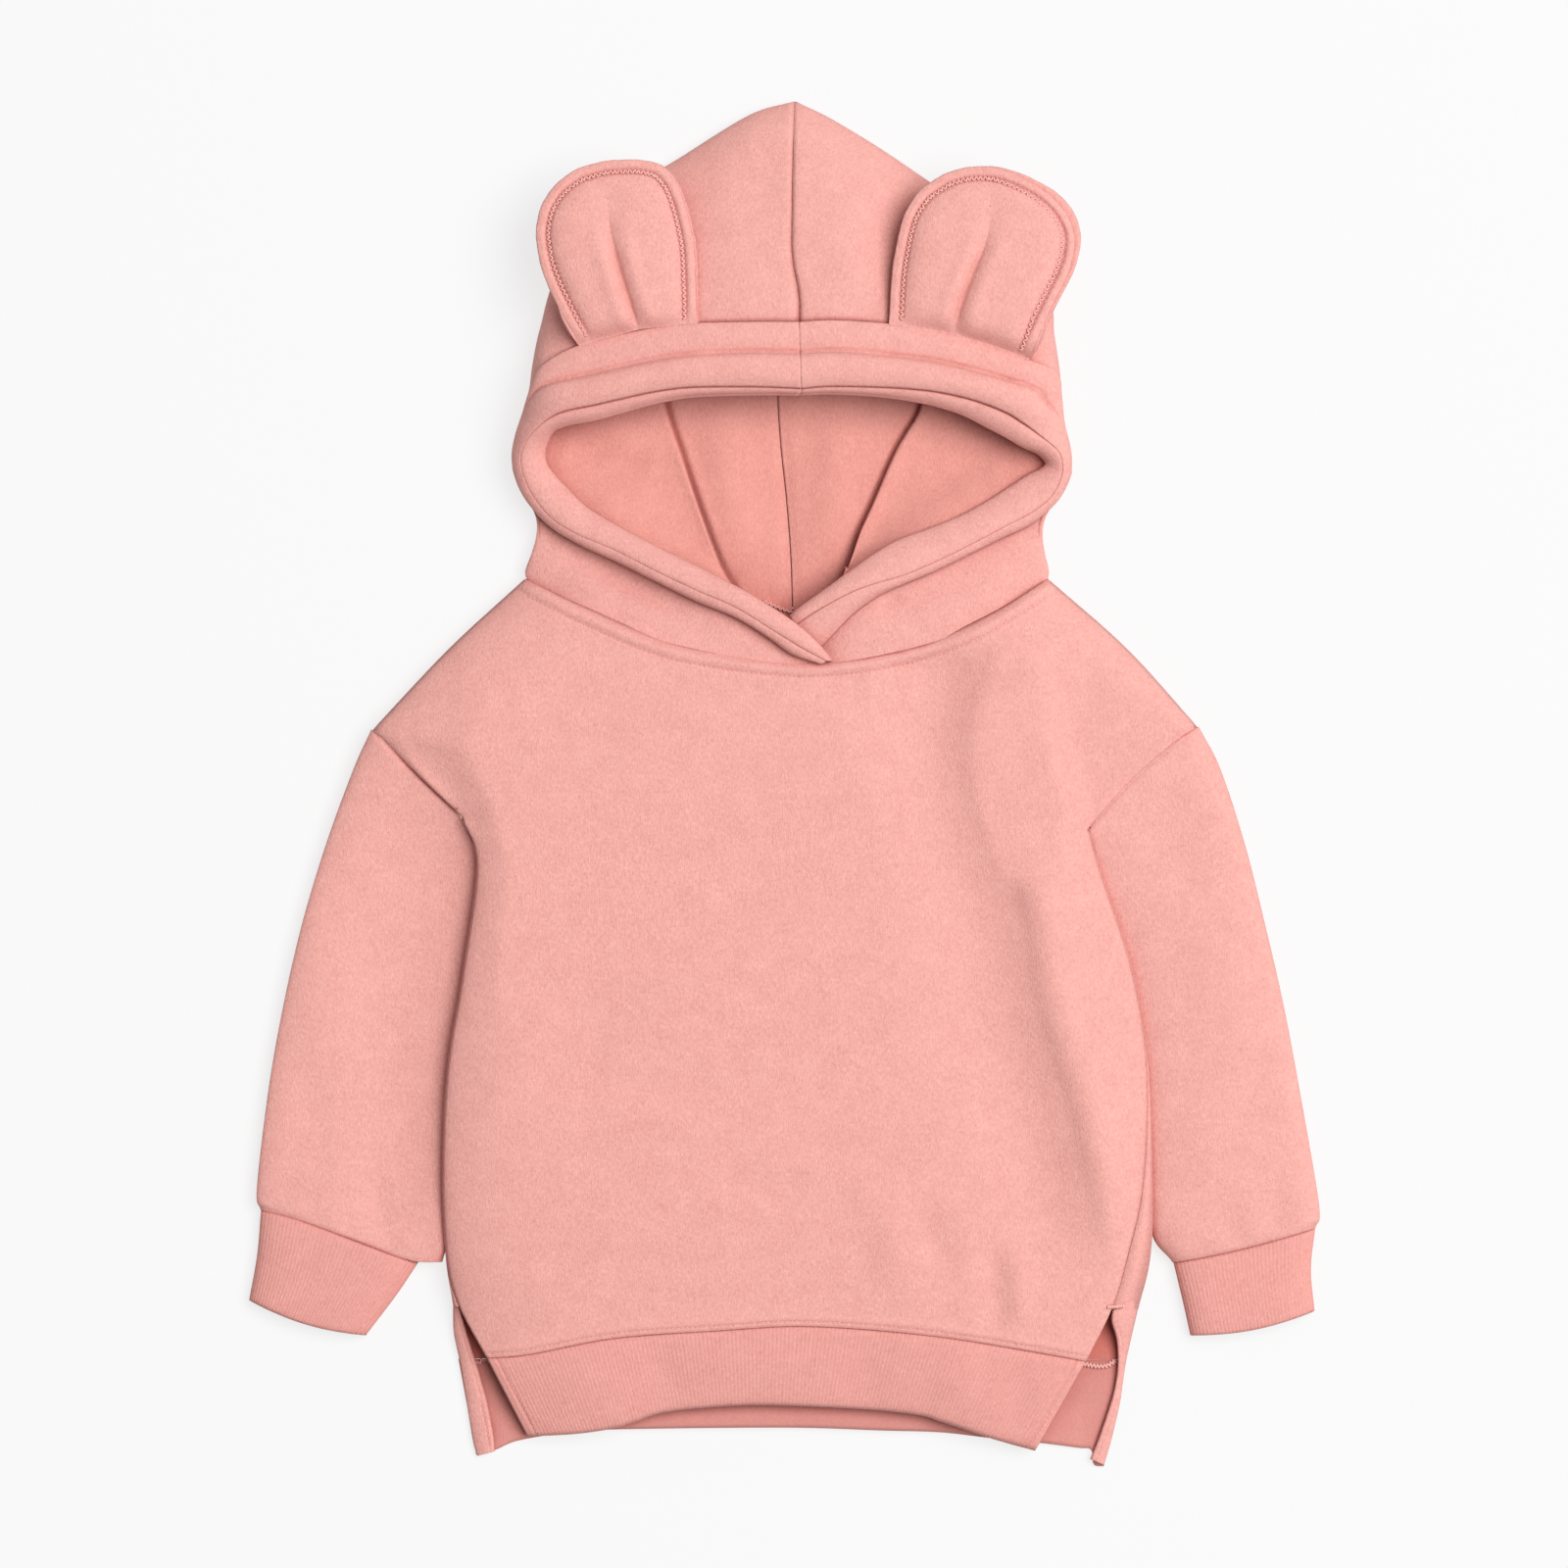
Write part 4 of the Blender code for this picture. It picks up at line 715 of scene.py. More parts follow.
for side in ("left", "right"):
    rows = refine([station[1:] for station in CUFFS[side]], 14)
    wales = int(travel(closed(tube_section(rows[0], *CUFF_POINTS)))[-1] / RIB_PITCH)
    rings = []
    for share, row in zip(np.linspace(0, 1, len(rows)), rows):
        ring = resample(closed(tube_section(row, *CUFF_POINTS)), wales * WALE_POINTS + 1)[:-1]
        outer, inner = row[0:2], row[2:4]
        width = np.hypot(*(inner - outer))
        along = (inner - outer) / width
        across = ((ring[:, :2] - outer) @ along) / width
        down = np.array([along[1], -along[0]]) * (1 if side == "left" else -1)
        if share == 0:
            bow = seam_bow(ring[:, 0], row, even_run(CUFF_SEAMS[side], 60))
        ring[:, 1] += bow * (1 - share) ** 2
        ring[:, :2] += down * (CUFF_SAG * share * np.sin(np.pi * across.clip(0, 1)))[:, None]
        next_way = np.roll(ring, -1, axis=0) - np.roll(ring, 1, axis=0)
        normal = np.cross(next_way, np.append(down, 0.0))
        normal /= np.linalg.norm(normal, axis=1)[:, None]
        if np.sum(normal * (ring - ring.mean(axis=0))) < 0:
            normal = -normal
        above = np.clip((ring[:, 2] - 0.3) / 1.5, 0, 1)
        relief = wale_relief(np.arange(len(ring)) / WALE_POINTS, RIB_DEPTH) * above
        ring += normal * relief[:, None]
        ring[:, 2] += 0.5 * above * math.sin(math.pi * share)
        ring[:, 2] -= 0.9 * above * (max(0, share - 0.92) / 0.08) ** 2
        ring[:, 2] -= 0.8 * above * math.exp(-share * CUFF_LONG / 1.1)
        for line in CUFF_STITCHES if side == "left" else ():
            ring[:, 2] -= 0.4 * above * bump_along((1 - across) * width, line, 0.5)
        rings.append(ring)
    cloth(f"{side}_cuff", facing_out(np.array(rings)), RIB_WALL, rib_knit,
                        f"cuff_{side}", ring=True)

# ---- Front hem band ----------------------------------------------------------------------------------------
# A doubled band of rib sewn to the front panel's lower edge. It hangs in an arch between the two vents, so
# that a little of the back band's inside shows under it.
FRONT_HEM_EDGE = [(-130.5, -332.3), (-104.5, -330.5), (-85.5, -327.5), (-76.0, -324.5), (-60.0, -319.5),
                  (-30.0, -316.5), (-5.5, -316.0), (40.0, -318.0), (68.0, -321.0), (80.0, -324.5),
                  (105.5, -333.0), (127.8, -339.5)]
HEM_FOLDS = [
    ("left puff", -110.0, -286.0, -96.0, -330.0, 2.0, 16.0, 1.0),
    ("left hollow", -66.0, -280.0, -58.0, -322.0, 2.0, 12.0, -1.0),
    ("middle puff", -14.0, -280.0, -8.0, -318.0, 2.0, 22.0, 0.8),
    ("right hollow", 46.0, -282.0, 40.0, -320.0, -2.0, 12.0, -1.0),
    ("right puff", 84.0, -286.0, 92.0, -328.0, 2.0, 14.0, 1.3),
    ("corner dip", 122.0, -292.0, 116.0, -334.0, 0.0, 9.0, -0.8),
]
HEM_ROWS = 24
HEM_DEEP = 40.0
HEM_FALL = 5.5  # the edge lies this far below the seam
HEM_EDGE = (1.2, 0.93)  # how far more its very edge falls, and from which share of the depth
HEM_SWELL = 0.8
HEM_TURN = (1.3, 1.4)  # height and width of the turn at its seam
VENT_STITCH = (0.5, 4.8, 0.6)  # depth of the line of stitching along a vent, how far in it is, and its width
hem_columns = int((FRONT_HEM_SEAM[-1][0] - FRONT_HEM_SEAM[0][0]) / RIB_PITCH) * WALE_POINTS + 1
hem_seam, hem_edge = even_run(FRONT_HEM_SEAM, hem_columns), even_run(FRONT_HEM_EDGE, hem_columns)
left_x, _, right_x, _, side_height, crown = body_lines[-1][:6]
across = (hem_seam[:, 0] - left_x) / (right_x - left_x)
seam_height = side_height + (crown - side_height) * dome(across, BODY_FLATNESS)
folds_above = fold_lift(hem_seam, FRONT_FOLDS), slope_fold(hem_seam, LONG_FOLD, *LONG_FOLD_SIZE)
wales = wale_relief(np.arange(hem_columns) / WALE_POINTS, RIB_DEPTH)
hem_grid = []
for share in np.linspace(0, 1, HEM_ROWS) ** 1.3:
    line = hem_seam + (hem_edge - hem_seam) * share
    z = seam_height - HEM_FALL * share - HEM_EDGE[0] * max(0, share - HEM_EDGE[1]) / (1 - HEM_EDGE[1])
    z += HEM_SWELL * math.sin(math.pi * share)
    z = z + rolled_in(share * HEM_DEEP, *HEM_TURN) + wales
    for lift in folds_above:
        z += lift * (1 - share)
    z += fold_lift(line, HEM_FOLDS)
    in_from_vent = np.minimum(line[:, 0] - line[0, 0], line[-1, 0] - line[:, 0])
    z -= VENT_STITCH[0] * bump_along(in_from_vent, *VENT_STITCH[1:]) + 0.8 * np.exp(-in_from_vent / 0.8)
    hem_grid.append(np.column_stack([line, z]))
hem_grid = np.array(hem_grid)
hem_front = cloth("front_hem_band", hem_grid, RIB_WALL, rib_knit, "hem_front")

# ---- Back hem band -----------------------------------------------------------------------------------------
# The same band on the longer back, lying on the table. Its inside faces up where it shows in the vents and
# below the front band, and is painted a deeper pink for the shade it lies in there.
BACK_HEM_SEAM = [(-166.0, -294.0), (-100.0, -294.5), (0.0, -294.0), (100.0, -294.5), (173.5, -294.5)]
BACK_HEM_EDGE = [(-157.0, -342.0), (-147.0, -339.5), (-136.0, -334.8), (-115.0, -331.0), (-85.5, -328.5),
                 (0.0, -327.5), (50.0, -329.0), (80.0, -330.0), (105.0, -333.0), (131.0, -335.8),
                 (150.0, -338.5), (156.5, -339.5), (158.0, -347.0), (163.0, -348.0)]
# the band's inside: the same rib, painted darker as shade
RIB_INSIDE_SHADED = (0.69, 0.29, 0.255, 1.0)
BACK_HEM_SWELL = (4.0, 2.0, 150.0)  # how high its middle stands, at which x, and how far out it goes
BACK_HEM_ROWS = 17
BACK_WALE_POINTS = 3

rib_inside_shaded = cotton("rib_inside_shaded", RIB_INSIDE_SHADED, heather=0.24, mottle=0.14, depth=0.25, sheen=0.12)
back_columns = int((BACK_HEM_SEAM[-1][0] - BACK_HEM_SEAM[0][0]) / RIB_PITCH) * BACK_WALE_POINTS + 1
back_seam, back_edge = even_run(BACK_HEM_SEAM, back_columns) + (0, 0.8), even_run(BACK_HEM_EDGE, back_columns)
back_hem_grid = []
for share in np.linspace(0, 1, BACK_HEM_ROWS):
    line = back_seam + (back_edge - back_seam) * share
    off_middle = (np.abs(line[:, 0] - BACK_HEM_SWELL[1]) / BACK_HEM_SWELL[2]).clip(0, 1)
    swell = math.sin(math.pi * min(1.0, max(0.0, (share - 0.35) / 0.9))) ** 1.5
    lift = BACK_HEM_SWELL[0] * (1 - off_middle**4) * swell
    back_hem_grid.append(np.column_stack([line, lift])[::-1])
back_hem_grid = np.array(back_hem_grid)
hem_back = cloth("back_hem_band", back_hem_grid, RIB_WALL, rib_knit, "hem_back", inside=rib_inside_shaded)

# ---- Vent strips -------------------------------------------------------------------------------------------
# The back edges of both vents are finished with a narrow strip of fleece, turned in and sewn flat. It goes on
# from where the side of the body rolls over to its seam, and comes down to the table towards the hem.
TRIM_WALL = 1.4
VENT_STRIPS = {
    "left": [
        # name, outer x y z, inner x y z
        ("top", -168.4, -263.5, 5.5, -165.4, -265.5, 9.6),
        ("apex", -168.7, -269.0, 4.8, -164.4, -269.5, 9.2),
        ("notch", -168.3, -280.0, 3.6, -161.2, -281.0, 7.0),
        ("seam", -165.4, -294.0, 2.6, -157.0, -294.5, 5.4),
        ("under seam", -163.8, -303.0, 2.4, -154.6, -302.5, 5.2),
        ("band", -161.4, -318.0, 2.4, -151.2, -315.0, 5.0),
        ("low band", -158.6, -335.0, 2.4, -148.2, -330.5, 4.8),
        ("end", -156.5, -342.6, 2.0, -147.3, -340.0, 4.2),
    ],
    "right": [
        ("top", 181.6, -262.0, 5.0, 167.2, -265.5, 14.2),
        ("apex", 179.6, -271.0, 4.6, 166.4, -273.0, 12.6),
        ("notch", 177.2, -281.5, 3.4, 169.2, -283.0, 9.0),
        ("seam", 174.4, -294.5, 2.8, 170.0, -294.5, 6.6),
        ("under seam", 172.8, -305.0, 2.5, 169.2, -303.5, 5.6),
        ("band", 171.2, -316.0, 2.4, 166.8, -314.0, 5.2),
        ("low band", 167.0, -334.0, 2.4, 160.4, -333.0, 5.0),
        ("end", 163.2, -347.4, 2.0, 156.0, -344.0, 4.2),
    ],
}
STRIP_PUFF = 0.11  # for each millimetre of its width
STRIP_STITCH = (0.3, 2.6, 0.5)  # depth of the stitching, how far from the inner edge, and its width
STRIP_LINES, STRIP_ACROSS = 14, 22
vent_strips, strip_grids = {}, {}
for side, stations in VENT_STRIPS.items():
    grid = []
    rows = refine([station[1:] for station in stations], STRIP_LINES)
    for share, row in zip(np.linspace(0, 1, len(rows)), rows):
        outer, inner = row[0:3], row[3:6]
        t = np.linspace(0, 1, STRIP_ACROSS)
        line = outer + (inner - outer) * t[:, None]
        width = np.hypot(*(inner - outer)[:2])
        puff = (inner[2] - outer[2]) * (np.sqrt(t) - t) + STRIP_PUFF * width * np.sin(np.pi * t) ** 0.6
        line[:, 2] += puff - 0.9 * (1 - (1 - t) * width / 1.2).clip(0) ** 2
        line[:, 2] -= STRIP_STITCH[0] * bump_along((1 - t) * width, *STRIP_STITCH[1:]) * min(1.0, share * 4)
        grid.append(line if side == "left" else line[::-1])
    strip_grids[side] = np.array(grid)
    vent_strips[side] = cloth(f"{side}_vent_strip", strip_grids[side], TRIM_WALL, fleece,
                              f"vent_strip_{side}")

# ---- Outer hood --------------------------------------------------------------------------------------------
# Two panels of fleece with a seam over the middle of the head. Each runs from under the edge band up over the
# crown, or down to the neck seam, round the fold at its outline, and back under the hood on the table.
HOOD_EDGE = {
    "left": [
        # name, band seam x y z, crest x y z, facing's inner border x y z, where the tiers part, how deep
        ("tip", 17.0, 61.8, 25.0, 21.3, 62.3, 28.0, 23.7, 62.6, 27.5, 0.4, 0.0),
        ("over", 3.5, 66.0, 26.0, 9.5, 68.5, 30.5, 16.0, 71.5, 30.3, 0.4, 0.0),
        ("crossing", -9.0, 75.0, 26.5, -3.0, 76.0, 31.5, 4.5, 81.5, 31.0, 0.4, 0.0),
        ("front", -25.0, 84.5, 26.0, -25.0, 89.5, 31.0, -17.5, 95.5, 30.0, 0.4, 0.0),
        ("front side", -44.5, 92.5, 24.0, -44.5, 98.0, 29.5, -40.5, 107.5, 27.5, 0.4, 0.0),
        ("lower front", -63.5, 102.0, 22.0, -66.5, 108.5, 27.5, -63.5, 119.0, 25.0, 0.4, 0.0),
        ("lower", -82.5, 111.5, 19.5, -86.0, 118.5, 25.5, -82.5, 129.0, 23.0, 0.4, 0.0),
        ("lower side", -102.0, 121.0, 17.0, -106.0, 127.0, 23.5, -100.0, 139.5, 20.5, 0.4, 0.0),
        ("neck side", -118.0, 130.5, 14.5, -118.5, 135.0, 21.5, -110.0, 149.0, 19.5, 0.4, 0.0),
        ("under corner", -130.0, 143.0, 13.0, -127.5, 146.0, 20.5, -116.5, 156.0, 19.0, 0.4, 0.0),
        ("corner", -136.0, 154.5, 13.0, -132.3, 156.0, 22.0, -120.5, 161.0, 19.5, 0.4, 0.0),
        ("side", -138.0, 166.0, 14.0, -133.8, 165.5, 24.0, -122.2, 166.5, 20.5, 0.4, 0.0),
        ("over corner", -136.5, 177.0, 16.0, -131.0, 173.5, 27.5, -121.0, 173.0, 23.0, 0.3, 0.0),
        ("rise", -133.0, 188.0, 20.0, -125.5, 180.0, 31.5, -118.0, 178.5, 27.0, 0.2, 0.0),
        ("band end", -129.0, 200.0, 26.0, -118.0, 185.5, 35.0, -113.5, 181.2, 30.0, 0.22, 0.5),
        ("band corner", -124.0, 210.5, 31.5, -109.5, 188.8, 37.0, -107.5, 183.0, 32.0, 0.36, 0.9),
        ("band side", -112.0, 218.8, 35.0, -96.0, 191.5, 38.5, -95.5, 185.0, 34.0, 0.47, 1.0),
        ("band low", -96.0, 224.3, 37.5, -81.5, 194.8, 40.0, -81.0, 189.0, 35.5, 0.50, 1.0),
        ("band", -72.0, 229.8, 39.5, -64.0, 198.4, 41.2, -63.0, 193.8, 36.8, 0.50, 1.0),
        ("upper band", -50.0, 232.8, 41.0, -46.0, 200.4, 42.2, -44.5, 196.6, 37.8, 0.485, 1.0),
        ("beside centre", -16.0, 233.6, 42.3, -14.0, 200.6, 43.0, -14.0, 197.6, 38.5, 0.46, 1.0),
        ("centre", 7.5, 233.6, 42.2, 8.8, 199.7, 42.6, 8.2, 197.5, 38.2, 0.46, 1.1),
    ],
    "right": [
        ("tip", 17.5, 68.0, 21.0, 6.0, 80.5, 24.0, 3.0, 84.5, 23.0, 0.4, 0.0),
        ("over", 26.0, 77.0, 22.5, 15.5, 87.0, 26.0, 9.5, 90.0, 24.5, 0.4, 0.0),
        ("crossing", 36.0, 87.0, 23.5, 28.0, 94.0, 28.0, 22.5, 99.0, 26.0, 0.4, 0.0),
        ("front", 49.0, 96.0, 23.5, 41.0, 99.8, 29.0, 34.0, 107.5, 26.5, 0.4, 0.0),
        ("front side", 63.0, 102.5, 22.0, 61.5, 106.0, 28.0, 54.0, 121.0, 25.0, 0.4, 0.0),
        ("lower front", 77.0, 108.5, 20.5, 80.0, 114.0, 26.0, 71.5, 128.0, 23.5, 0.4, 0.0),
        ("lower", 93.0, 116.5, 18.5, 97.0, 122.5, 24.5, 90.0, 135.5, 22.0, 0.4, 0.0),
        ("lower side", 109.0, 124.5, 16.0, 113.0, 131.0, 22.5, 106.0, 144.5, 20.0, 0.4, 0.0),
        ("neck side", 124.0, 131.5, 14.0, 125.5, 137.5, 21.0, 116.0, 151.0, 19.0, 0.4, 0.0),
        ("under corner", 137.5, 142.5, 13.0, 135.5, 145.5, 20.5, 124.5, 156.5, 18.8, 0.4, 0.0),
        ("corner", 144.5, 154.0, 13.0, 140.5, 154.5, 22.0, 131.0, 159.8, 19.5, 0.4, 0.0),
        ("side", 146.0, 163.0, 14.0, 141.5, 162.0, 24.5, 133.5, 163.0, 21.0, 0.4, 0.0),
        ("over corner", 145.0, 173.0, 16.0, 139.0, 169.0, 28.0, 129.5, 167.5, 24.5, 0.3, 0.0),
        ("rise", 142.5, 184.0, 20.0, 129.5, 176.5, 32.0, 121.0, 171.5, 28.5, 0.2, 0.2),
        ("band end", 141.0, 197.0, 26.0, 120.0, 183.0, 35.0, 112.5, 176.5, 31.0, 0.36, 0.7),
        ("band corner", 138.5, 208.5, 30.5, 112.0, 187.8, 37.0, 104.0, 180.8, 32.5, 0.42, 0.9),
        ("band side", 124.0, 215.0, 35.0, 98.0, 193.3, 38.5, 92.0, 187.0, 34.0, 0.46, 1.0),
        ("band low", 107.0, 221.0, 37.5, 86.0, 196.4, 39.8, 81.0, 190.8, 35.4, 0.48, 1.0),
        ("band", 85.0, 227.8, 39.5, 72.0, 198.8, 41.0, 70.0, 193.6, 36.6, 0.49, 1.0),
        ("upper band", 57.5, 232.3, 41.0, 51.0, 200.3, 42.0, 49.0, 196.6, 37.6, 0.485, 1.0),
        ("beside centre", 26.0, 234.4, 42.3, 24.0, 200.8, 43.0, 23.0, 198.0, 38.5, 0.46, 1.0),
        ("centre", 7.5, 233.6, 42.2, 8.8, 199.7, 42.6, 8.2, 197.5, 38.2, 0.46, 1.1),
    ],
}
HOOD_FOLD = {
    "left": [
        # fold x y z, and where the cloth ends under the hood x y z, for each station of the edge
        (17.0, 60.6, 24.3, 17.0, 68.0, 17.0), (3.5, 61.0, 24.6, 3.5, 69.5, 17.0),
        (-10.0, 62.3, 24.4, -9.5, 72.0, 16.5), (-25.5, 64.7, 24.0, -24.0, 74.5, 16.0),
        (-44.5, 68.3, 23.6, -42.5, 78.0, 15.5),
        (-63.5, 73.0, 22.8, -61.0, 82.5, 14.5), (-82.5, 79.6, 21.0, -78.0, 89.0, 12.5),
        (-103.5, 90.0, 18.0, -96.0, 99.0, 9.5), (-131.5, 105.3, 8.0, -110.0, 106.0, 1.0),
        (-121.5, 131.0, 7.5, -62.0, 100.0, 0.0), (-136.4, 154.8, 7.0, -40.0, 94.0, 0.0),
        (-138.4, 166.0, 7.0, -20.0, 92.0, 0.0), (-136.9, 177.2, 7.5, 6.8, 90.5, 0.0),
        (-133.4, 188.4, 8.0, 6.8, 102.0, 0.0), (-129.7, 201.0, 12.0, 6.8, 120.0, 0.0),
        (-128.0, 213.0, 14.0, 6.8, 138.0, 0.0), (-124.0, 232.0, 14.5, 6.8, 158.0, 0.0),
        (-114.0, 262.0, 12.5, 6.8, 185.0, 0.0), (-84.0, 298.0, 9.0, 6.8, 220.0, 0.0),
        (-51.0, 320.3, 7.0, 6.8, 262.0, 0.0), (-17.0, 340.8, 7.0, 6.8, 300.0, 0.0),
        (6.4, 347.7, 7.0, 7.3, 325.0, 0.0),
    ],
    "right": [
        (18.0, 60.8, 24.2, 18.0, 69.0, 16.5), (27.0, 61.6, 24.3, 26.5, 71.0, 16.5),
        (38.0, 63.2, 24.2, 37.0, 73.0, 16.0), (51.0, 65.8, 23.8, 49.0, 75.5, 15.5),
        (64.0, 68.8, 23.4, 61.5, 78.5, 15.0), (78.0, 72.7, 22.6, 75.0, 82.5, 14.5),
        (94.0, 79.3, 20.8, 90.0, 89.0, 13.0), (110.5, 88.5, 18.0, 104.0, 97.0, 10.0),
        (134.5, 104.8, 8.0, 113.0, 105.5, 1.0), (128.5, 131.5, 7.5, 66.0, 100.0, 0.0),
        (144.9, 154.2, 7.0, 44.0, 94.0, 0.0), (146.4, 163.0, 7.0, 24.0, 92.0, 0.0),
        (145.4, 173.2, 7.5, 7.8, 90.5, 0.0), (143.0, 184.4, 8.0, 7.8, 102.0, 0.0),
        (141.2, 198.0, 12.0, 7.8, 120.0, 0.0), (140.3, 210.0, 13.5, 7.8, 138.0, 0.0),
        (137.6, 228.0, 13.5, 7.8, 158.0, 0.0), (133.5, 250.0, 12.0, 7.8, 185.0, 0.0),
        (104.0, 284.0, 9.0, 7.8, 220.0, 0.0), (58.5, 317.5, 7.0, 7.8, 262.0, 0.0),
        (26.0, 338.0, 7.0, 7.8, 300.0, 0.0), (6.4, 347.7, 7.0, 7.3, 325.0, 0.0),
    ],
}
FACE_FROM = 14  # the place in the list of the first station above the face
UNDER_BAND = 2.6  # the outer hood starts this far below the band that is sewn over it
HOOD_LEAST = 6.5  # and reaches at least this far in from its fold
HOOD_STEPS = 8
CROWN_FROM = 225.0  # the centre seam shows above this y, where it lies at this x
CROWN_X = 7.5
CROWN_GROOVE = (1.5, 1.5)  # depth and half width of the groove along it
CROWN_SEAM = [(234.0, 0.0), (243.0, 0.3), (252.0, -0.6), (262.0, -2.6), (272.0, -3.4), (288.0, -2.9),
              (305.0, -2.4), (347.0, -1.2)]  # y, and how far to the side the seam runs there
HOOD_FOLDS = {
    "left": [
        ("beside the seam", -6.0, 250.0, 0.0, 336.0, 0.0, 12.0, -1.4),
        ("crown dent", -22.0, 280.0, -4.0, 318.0, 4.0, 13.0, -1.8),
        ("ear hollow", -38.0, 240.0, -42.0, 300.0, -4.0, 12.0, -2.0),
        ("crown puff", -28.0, 244.0, -34.0, 290.0, 4.0, 13.0, 1.6),
        ("low side fold", -122.0, 208.0, -112.0, 250.0, -3.0, 6.0, -1.2),
        ("neck fold", -116.0, 124.0, -42.0, 84.0, 0.0, 8.0, -4.0),
        ("neck puff", -112.0, 108.0, -40.0, 79.0, -4.0, 9.0, 1.0),
    ],
    "right": [
        ("beside the seam", 18.0, 244.0, 14.0, 330.0, 0.0, 10.0, -0.8),
        ("crown puff", 34.0, 244.0, 30.0, 300.0, -4.0, 15.0, 1.6),
        ("ear hollow", 50.0, 240.0, 58.0, 306.0, 5.0, 13.0, -3.0),
        ("low side fold", 136.0, 212.0, 126.0, 244.0, 3.0, 6.0, -1.2),
        ("neck fold", 108.0, 118.0, 44.0, 84.0, 0.0, 7.0, -1.4),
        ("tuck under the roll", 46.0, 92.0, 62.0, 98.0, 0.0, 5.0, -2.2),
        ("neck puff", 116.0, 106.0, 60.0, 80.0, 4.0, 9.0, 1.0),
    ],
}


def grid_normals(grid):
    """Unit normals of a smooth grid of points, on the side that its faces face."""
    down = np.gradient(grid, axis=0)
    right = np.gradient(grid, axis=1)
    normal = np.cross(down, right)
    return normal / np.maximum(np.linalg.norm(normal, axis=2, keepdims=True), 1e-9)


# Where a line of the hood holds its places: the band's seam, its crest, the facing's inner border, the outer
# fold and the end of the cloth under the hood.
SEAM, CREST, BORDER, FOLD, END = (slice(first, first + 3) for first in (0, 3, 6, 11, 14))
PART, DEPTH = 9, 10  # and where the band's tiers part, and how deep


def hood_lines(side, steps):
    """The hood's lines from its stations, steps lines from each station to the next."""
    return refine([edge[1:] + fold for edge, fold in zip(HOOD_EDGE[side], HOOD_FOLD[side])], steps)


OVER_STEPS = np.concatenate([np.linspace(0, 0.8, 30),
                             0.8 + 0.2 * np.sin(np.pi / 2 * np.linspace(0, 1, 12)[1:])])
UNDER_STEPS = np.linspace(0, 1, 9)[1:, None]
TURN_UNDER = ((0.02, 0.8), (0.1, 0.55), (0.22, 0.3), (0.5, 0.1), (1.0, 0.0))  # shares of its reach, height
for side in ("left", "right"):
    grid = []
    for row in hood_lines(side, HOOD_STEPS):
        seam, fold, end = row[SEAM] - (0, 0, UNDER_BAND), row[FOLD], row[END]
        depth, length = fold[2] - end[2], np.hypot(*(end[:2] - fold[:2]))
        away = (end[:2] - fold[:2]) / length
        seam[:2] += away * max(0.0, HOOD_LEAST - np.hypot(*(seam[:2] - fold[:2])))
        over = np.column_stack([seam[:2] + (fold[:2] - seam[:2]) * OVER_STEPS[:, None],
                                fold[2] + (seam[2] - fold[2]) * (1 - OVER_STEPS**1.6) ** 0.64])
        turn = np.array([(*(fold[:2] + away * min(0.45 * length, depth * reach)), end[2] + depth * height)
                         for reach, height in TURN_UNDER])
        grid.append(np.vstack([over, turn, turn[-1] + (end - turn[-1]) * UNDER_STEPS]))
    grid = np.array(grid)
    over = grid[:, : len(OVER_STEPS)]
    x, y = over[:, :, 0], over[:, :, 1]
    crown = y > CROWN_FROM
    groove, half_width = CROWN_GROOVE
    held = np.sin(np.pi * np.linspace(0.03, 0.97, len(OVER_STEPS)))[None, :] ** 0.35
    over[:, :, 2] += (fold_lift(over, HOOD_FOLDS[side]) * held
                      - np.where(crown, groove * np.exp(-np.abs((x - CROWN_X) / half_width) ** 1.3), 0.0))
    x += np.where(crown, np.interp(y, *np.array(CROWN_SEAM).T) * bump_along(x, CROWN_X, 26), 0.0)
    cloth(f"{side}_outer_hood", grid if side == "left" else grid[:, ::-1], FLEECE_WALL,
                             fleece, f"hood_outer_{side}")

# ---- Edge band ---------------------------------------------------------------------------------------------
# A wide doubled band round the face opening. Above the face it is folded in two soft tiers, the lower one a
# padded roll, and below it only the roll shows, crossing left over right at the neck.
BAND_STEPS = np.unique(np.concatenate([np.linspace(0, 1, 34), [0.02, 0.04, 0.96, 0.98]]))
BAND_PUFF = (1.0, 0.10)  # how high a plain stretch puffs, and how much more for each millimetre of its width
UPPER_PUFF, LOWER_PUFF, TIER_STEP, STEP_SOFTNESS = 1.7, 4.2, 1.1, 0.9


def raised(side, base, lift):
    """A strip's grid, facing up on both sides of the hood, with its points lifted along its normals."""
    base, lift = np.array(base), np.array(lift)
    if side == "left":
        base, lift = base[:, ::-1], lift[:, ::-1]
    return base + grid_normals(base) * lift[:, :, None]


